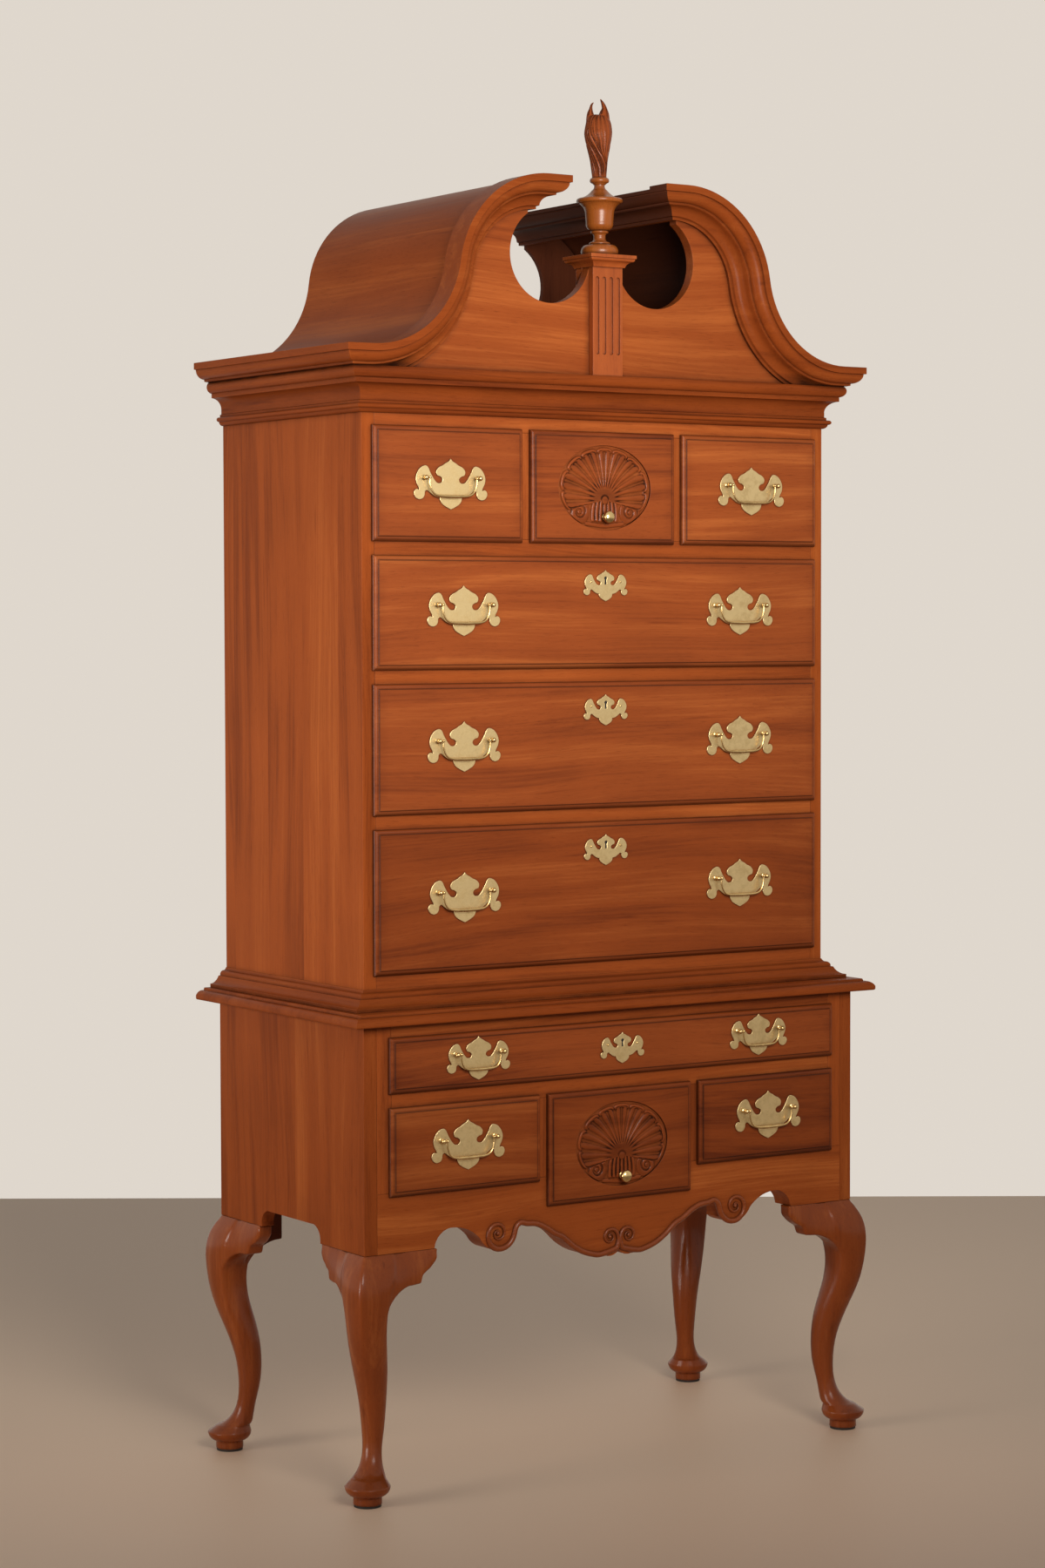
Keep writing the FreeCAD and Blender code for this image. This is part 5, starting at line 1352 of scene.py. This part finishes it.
def keyhole(x, z):
    """A keyhole: a round eye over a slot."""
    eye, slot, drop = 0.0027, 0.0015, 0.0105
    start = math.asin(slot / eye)
    angles = np.linspace(-math.pi / 2 + start, 1.5 * math.pi - start, 20)
    loop = [(x + eye * math.cos(a), z + eye * math.sin(a)) for a in angles]
    return loop + [(x - slot * 1.25, z - drop), (x + slot * 1.25, z - drop)]


print("plates are", PLATE_T * 1000, "mm thick")

# %% Posts and pins
PIVOT_OUT = 0.008
BALL = 0.0041
COLLAR = [(0.0046, 0), (0.0046, 0.0006), (0.0036, 0.0012), (0.0025, 0.0022)]
PIN_SIZE = 0.0019
PIN_ASIDE, PIN_UP = 0.0300, 0.0063
POST_WIDEST, SHIELD_WIDEST = 0.02, 0.1
KEYHOLE_UP = 0.0125
# how far behind the face the plate that paints a keyhole's shadow sits, and its bevel
KEYHOLE_SHADOW_BACK, KEYHOLE_SHADOW_BEVEL = 0.0006, 0.00002


def post_shape(x, face, z):
    """A post: a collar on the plate, a waist, and the ball that holds the bail's pin."""
    start = -math.asin(0.62)
    outline = COLLAR + arc(BALL, BALL, start - 0.12, 1.5, 14, PIVOT_OUT)
    return turn_on_lathe(outline, (x, face, z), "-y", 28)


def pin_shape(x, face, z):
    """A small domed pin."""
    outline = [(PIN_SIZE, 0)] + arc(PIN_SIZE, 0.75 * PIN_SIZE, 0, 1.5, 7, 0.0002)
    return turn_on_lathe(outline, (x, face, z), "-y", 20)


def brass_piece(name, shape, body, material, *nodes):
    """A small turned or swept brass piece."""
    mesh = shape_mesh(*shape, TURNED_CREASE, merge=False)
    add_piece(name, mesh, "x", body, "antique_brass", material, *nodes)


def dress_pull(node):
    """Plates, posts and keyhole of one drawer; returns how many shields it has."""
    body = node.replace("_brasses", "_drawer")
    shields = 0
    for index, (places, _) in enumerate(solids_of(node)):
        low, high = places.min(0), places.max(0)
        middle = (low + high) / 2
        name = f"{node}_{index}"
        if high[0] - low[0] < POST_WIDEST:
            brass_piece(name, post_shape(middle[0], high[1], middle[2]), body, bail_brass, node)
            continue
        loops = [plate_outline(low, high)]
        if high[0] - low[0] < SHIELD_WIDEST:
            hole = keyhole(middle[0], middle[2] + KEYHOLE_UP)
            loops.append(hole)
            for side, letter in ((-1, "l"), (1, "r")):
                pin = pin_shape(middle[0] + side * PIN_ASIDE, low[1], middle[2] + PIN_UP)
                brass_piece(f"{node}_pin_{letter}", pin, body, bail_brass)
            # a near-black plate in the keyhole, just behind the face, is its painted shadow
            keyhole_shadow = cast_plate([hole], low[1] + KEYHOLE_SHADOW_BACK, PLATE_T - KEYHOLE_SHADOW_BACK, KEYHOLE_SHADOW_BEVEL)
            add_piece(f"{node}_lock", keyhole_shadow, "x", body, "antique_brass", painted_keyhole_shadow)
            shields += 1
        plate = cast_plate(loops, low[1], PLATE_T, PLATE_BEVEL)
        add_piece(name, plate, "x", body, "antique_brass", plate_brass, node)
    return shields


keyholes = sum(dress_pull(node) for node in frame["nodes"] if node.endswith("_brasses"))
print("keyholes", keyholes)

# %% [markdown]
# ## Bails
# A bail is a cast rod, thin at the posts and swelled where the fingers pull.  It ends in
# two small knuckles beside the posts.  Each swings on its own, so each is one piece on the
# body of its own hinge.

# %% Swing handles
PIN_LEN = 0.0109
PIN_SHORT = 0.004
PIN_R = 0.0014
KNUCKLE = 0.0027
ROD_R = 0.0023
ROD_THIN, ROD_SWELL = 0.00165, 0.00105
# half of the bail's line, from its post to its middle, in shares of its half width and its drop
BAIL_HALF = [(1.0, 0), (1.005, 0.18), (0.985, 0.42), (0.915, 0.70), (0.775, 0.905), (0.56, 0.985),
             (0.30, 1.0), (0, 1.012)]


def bail_shape(node):
    """The rod and the two knuckles of one bail."""
    low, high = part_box(node)
    pivot = np.array([(low[0] + high[0]) / 2, (low[1] + high[1]) / 2, high[2] - ROD_R])
    arm = (high[0] - low[0]) / 2 - PIN_LEN
    drop = pivot[2] - low[2] - ROD_R
    points = [(-x * arm, 0, -z * drop) for x, z in BAIL_HALF]
    points += [(x * arm, 0, -z * drop) for x, z in BAIL_HALF[-2::-1]]
    line = smooth_line(points, 72)
    share = np.abs(line[:, 0]) / arm
    thick = ROD_THIN + ROD_SWELL * ramp(share, 0.85, 0.15)
    shapes = [sweep(line, thick, thick * 0.86, 16, up=(0, -1, 0))]
    for side in (-1, 1):
        ball = arc(KNUCKLE, KNUCKLE, -math.pi / 2 + 0.05, math.pi / 2 - 0.05, 12)
        shapes.append(turn_on_lathe(ball, (side * arm, 0, 0), "z", 20))
        pin = np.array([(side * (arm + t * (PIN_LEN - PIN_SHORT)), 0, 0) for t in np.linspace(0, 1, 4)])
        shapes.append(sweep(pin, PIN_R, sides=12))
    points, faces = join_shapes(shapes)
    return points + pivot, faces


bails = [node for node in frame["nodes"] if "_bail" in node]
for node in bails:
    brass_piece(f"{node}_rod", bail_shape(node), node, bail_brass, node)
print("bails", len(bails))

# %% Knobs of the shell drawers
# radius and distance from the front, in metres
STEM = [(0.0062, -0.0038), (0.0062, 0.0004), (0.0052, 0.0012), (0.0040, 0.0024), (0.0036, 0.0048),
        (0.0044, 0.0066)]
# share of the knob's radius, and distance from the front
KNOB = [(0.86, 0.0086), (0.98, 0.0104), (1, 0.0122), (0.965, 0.0143), (0.86, 0.0160), (0.66, 0.0175),
        (0.36, 0.0186)]
for node in [f"{drawer}_knob" for drawer in DRAWERS]:
    if node in frame["nodes"]:
        low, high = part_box(node)
        body = node.replace("_knob", "_drawer")
        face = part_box(node.replace("_knob", "_front"))[0][1]
        radius = (high[0] - low[0]) / 2
        outline = STEM + [(radius * share, out) for share, out in KNOB] + [(0.0004, face - low[1])]
        smooth = smooth_line(outline, 46)
        smooth[:, 0] = np.maximum(smooth[:, 0], 0.0002)
        centre = ((low[0] + high[0]) / 2, face, (low[2] + high[2]) / 2)
        brass_piece(f"{node}_turning", turn_on_lathe(smooth, centre, "-y", 40), body, knob_brass, node)
        print(node, "radius", round(radius * 1000, 1), "mm")

# %% Check that every solid has been dressed
left = [name for name, node in frame["nodes"].items() if not node.hide_render]
print("solids left plain:", left)

# %% Print the two boxes
size = {"cad": [list(corner) for corner in cad_box], "visual": [list(corner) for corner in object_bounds()]}
print("boxes", size)
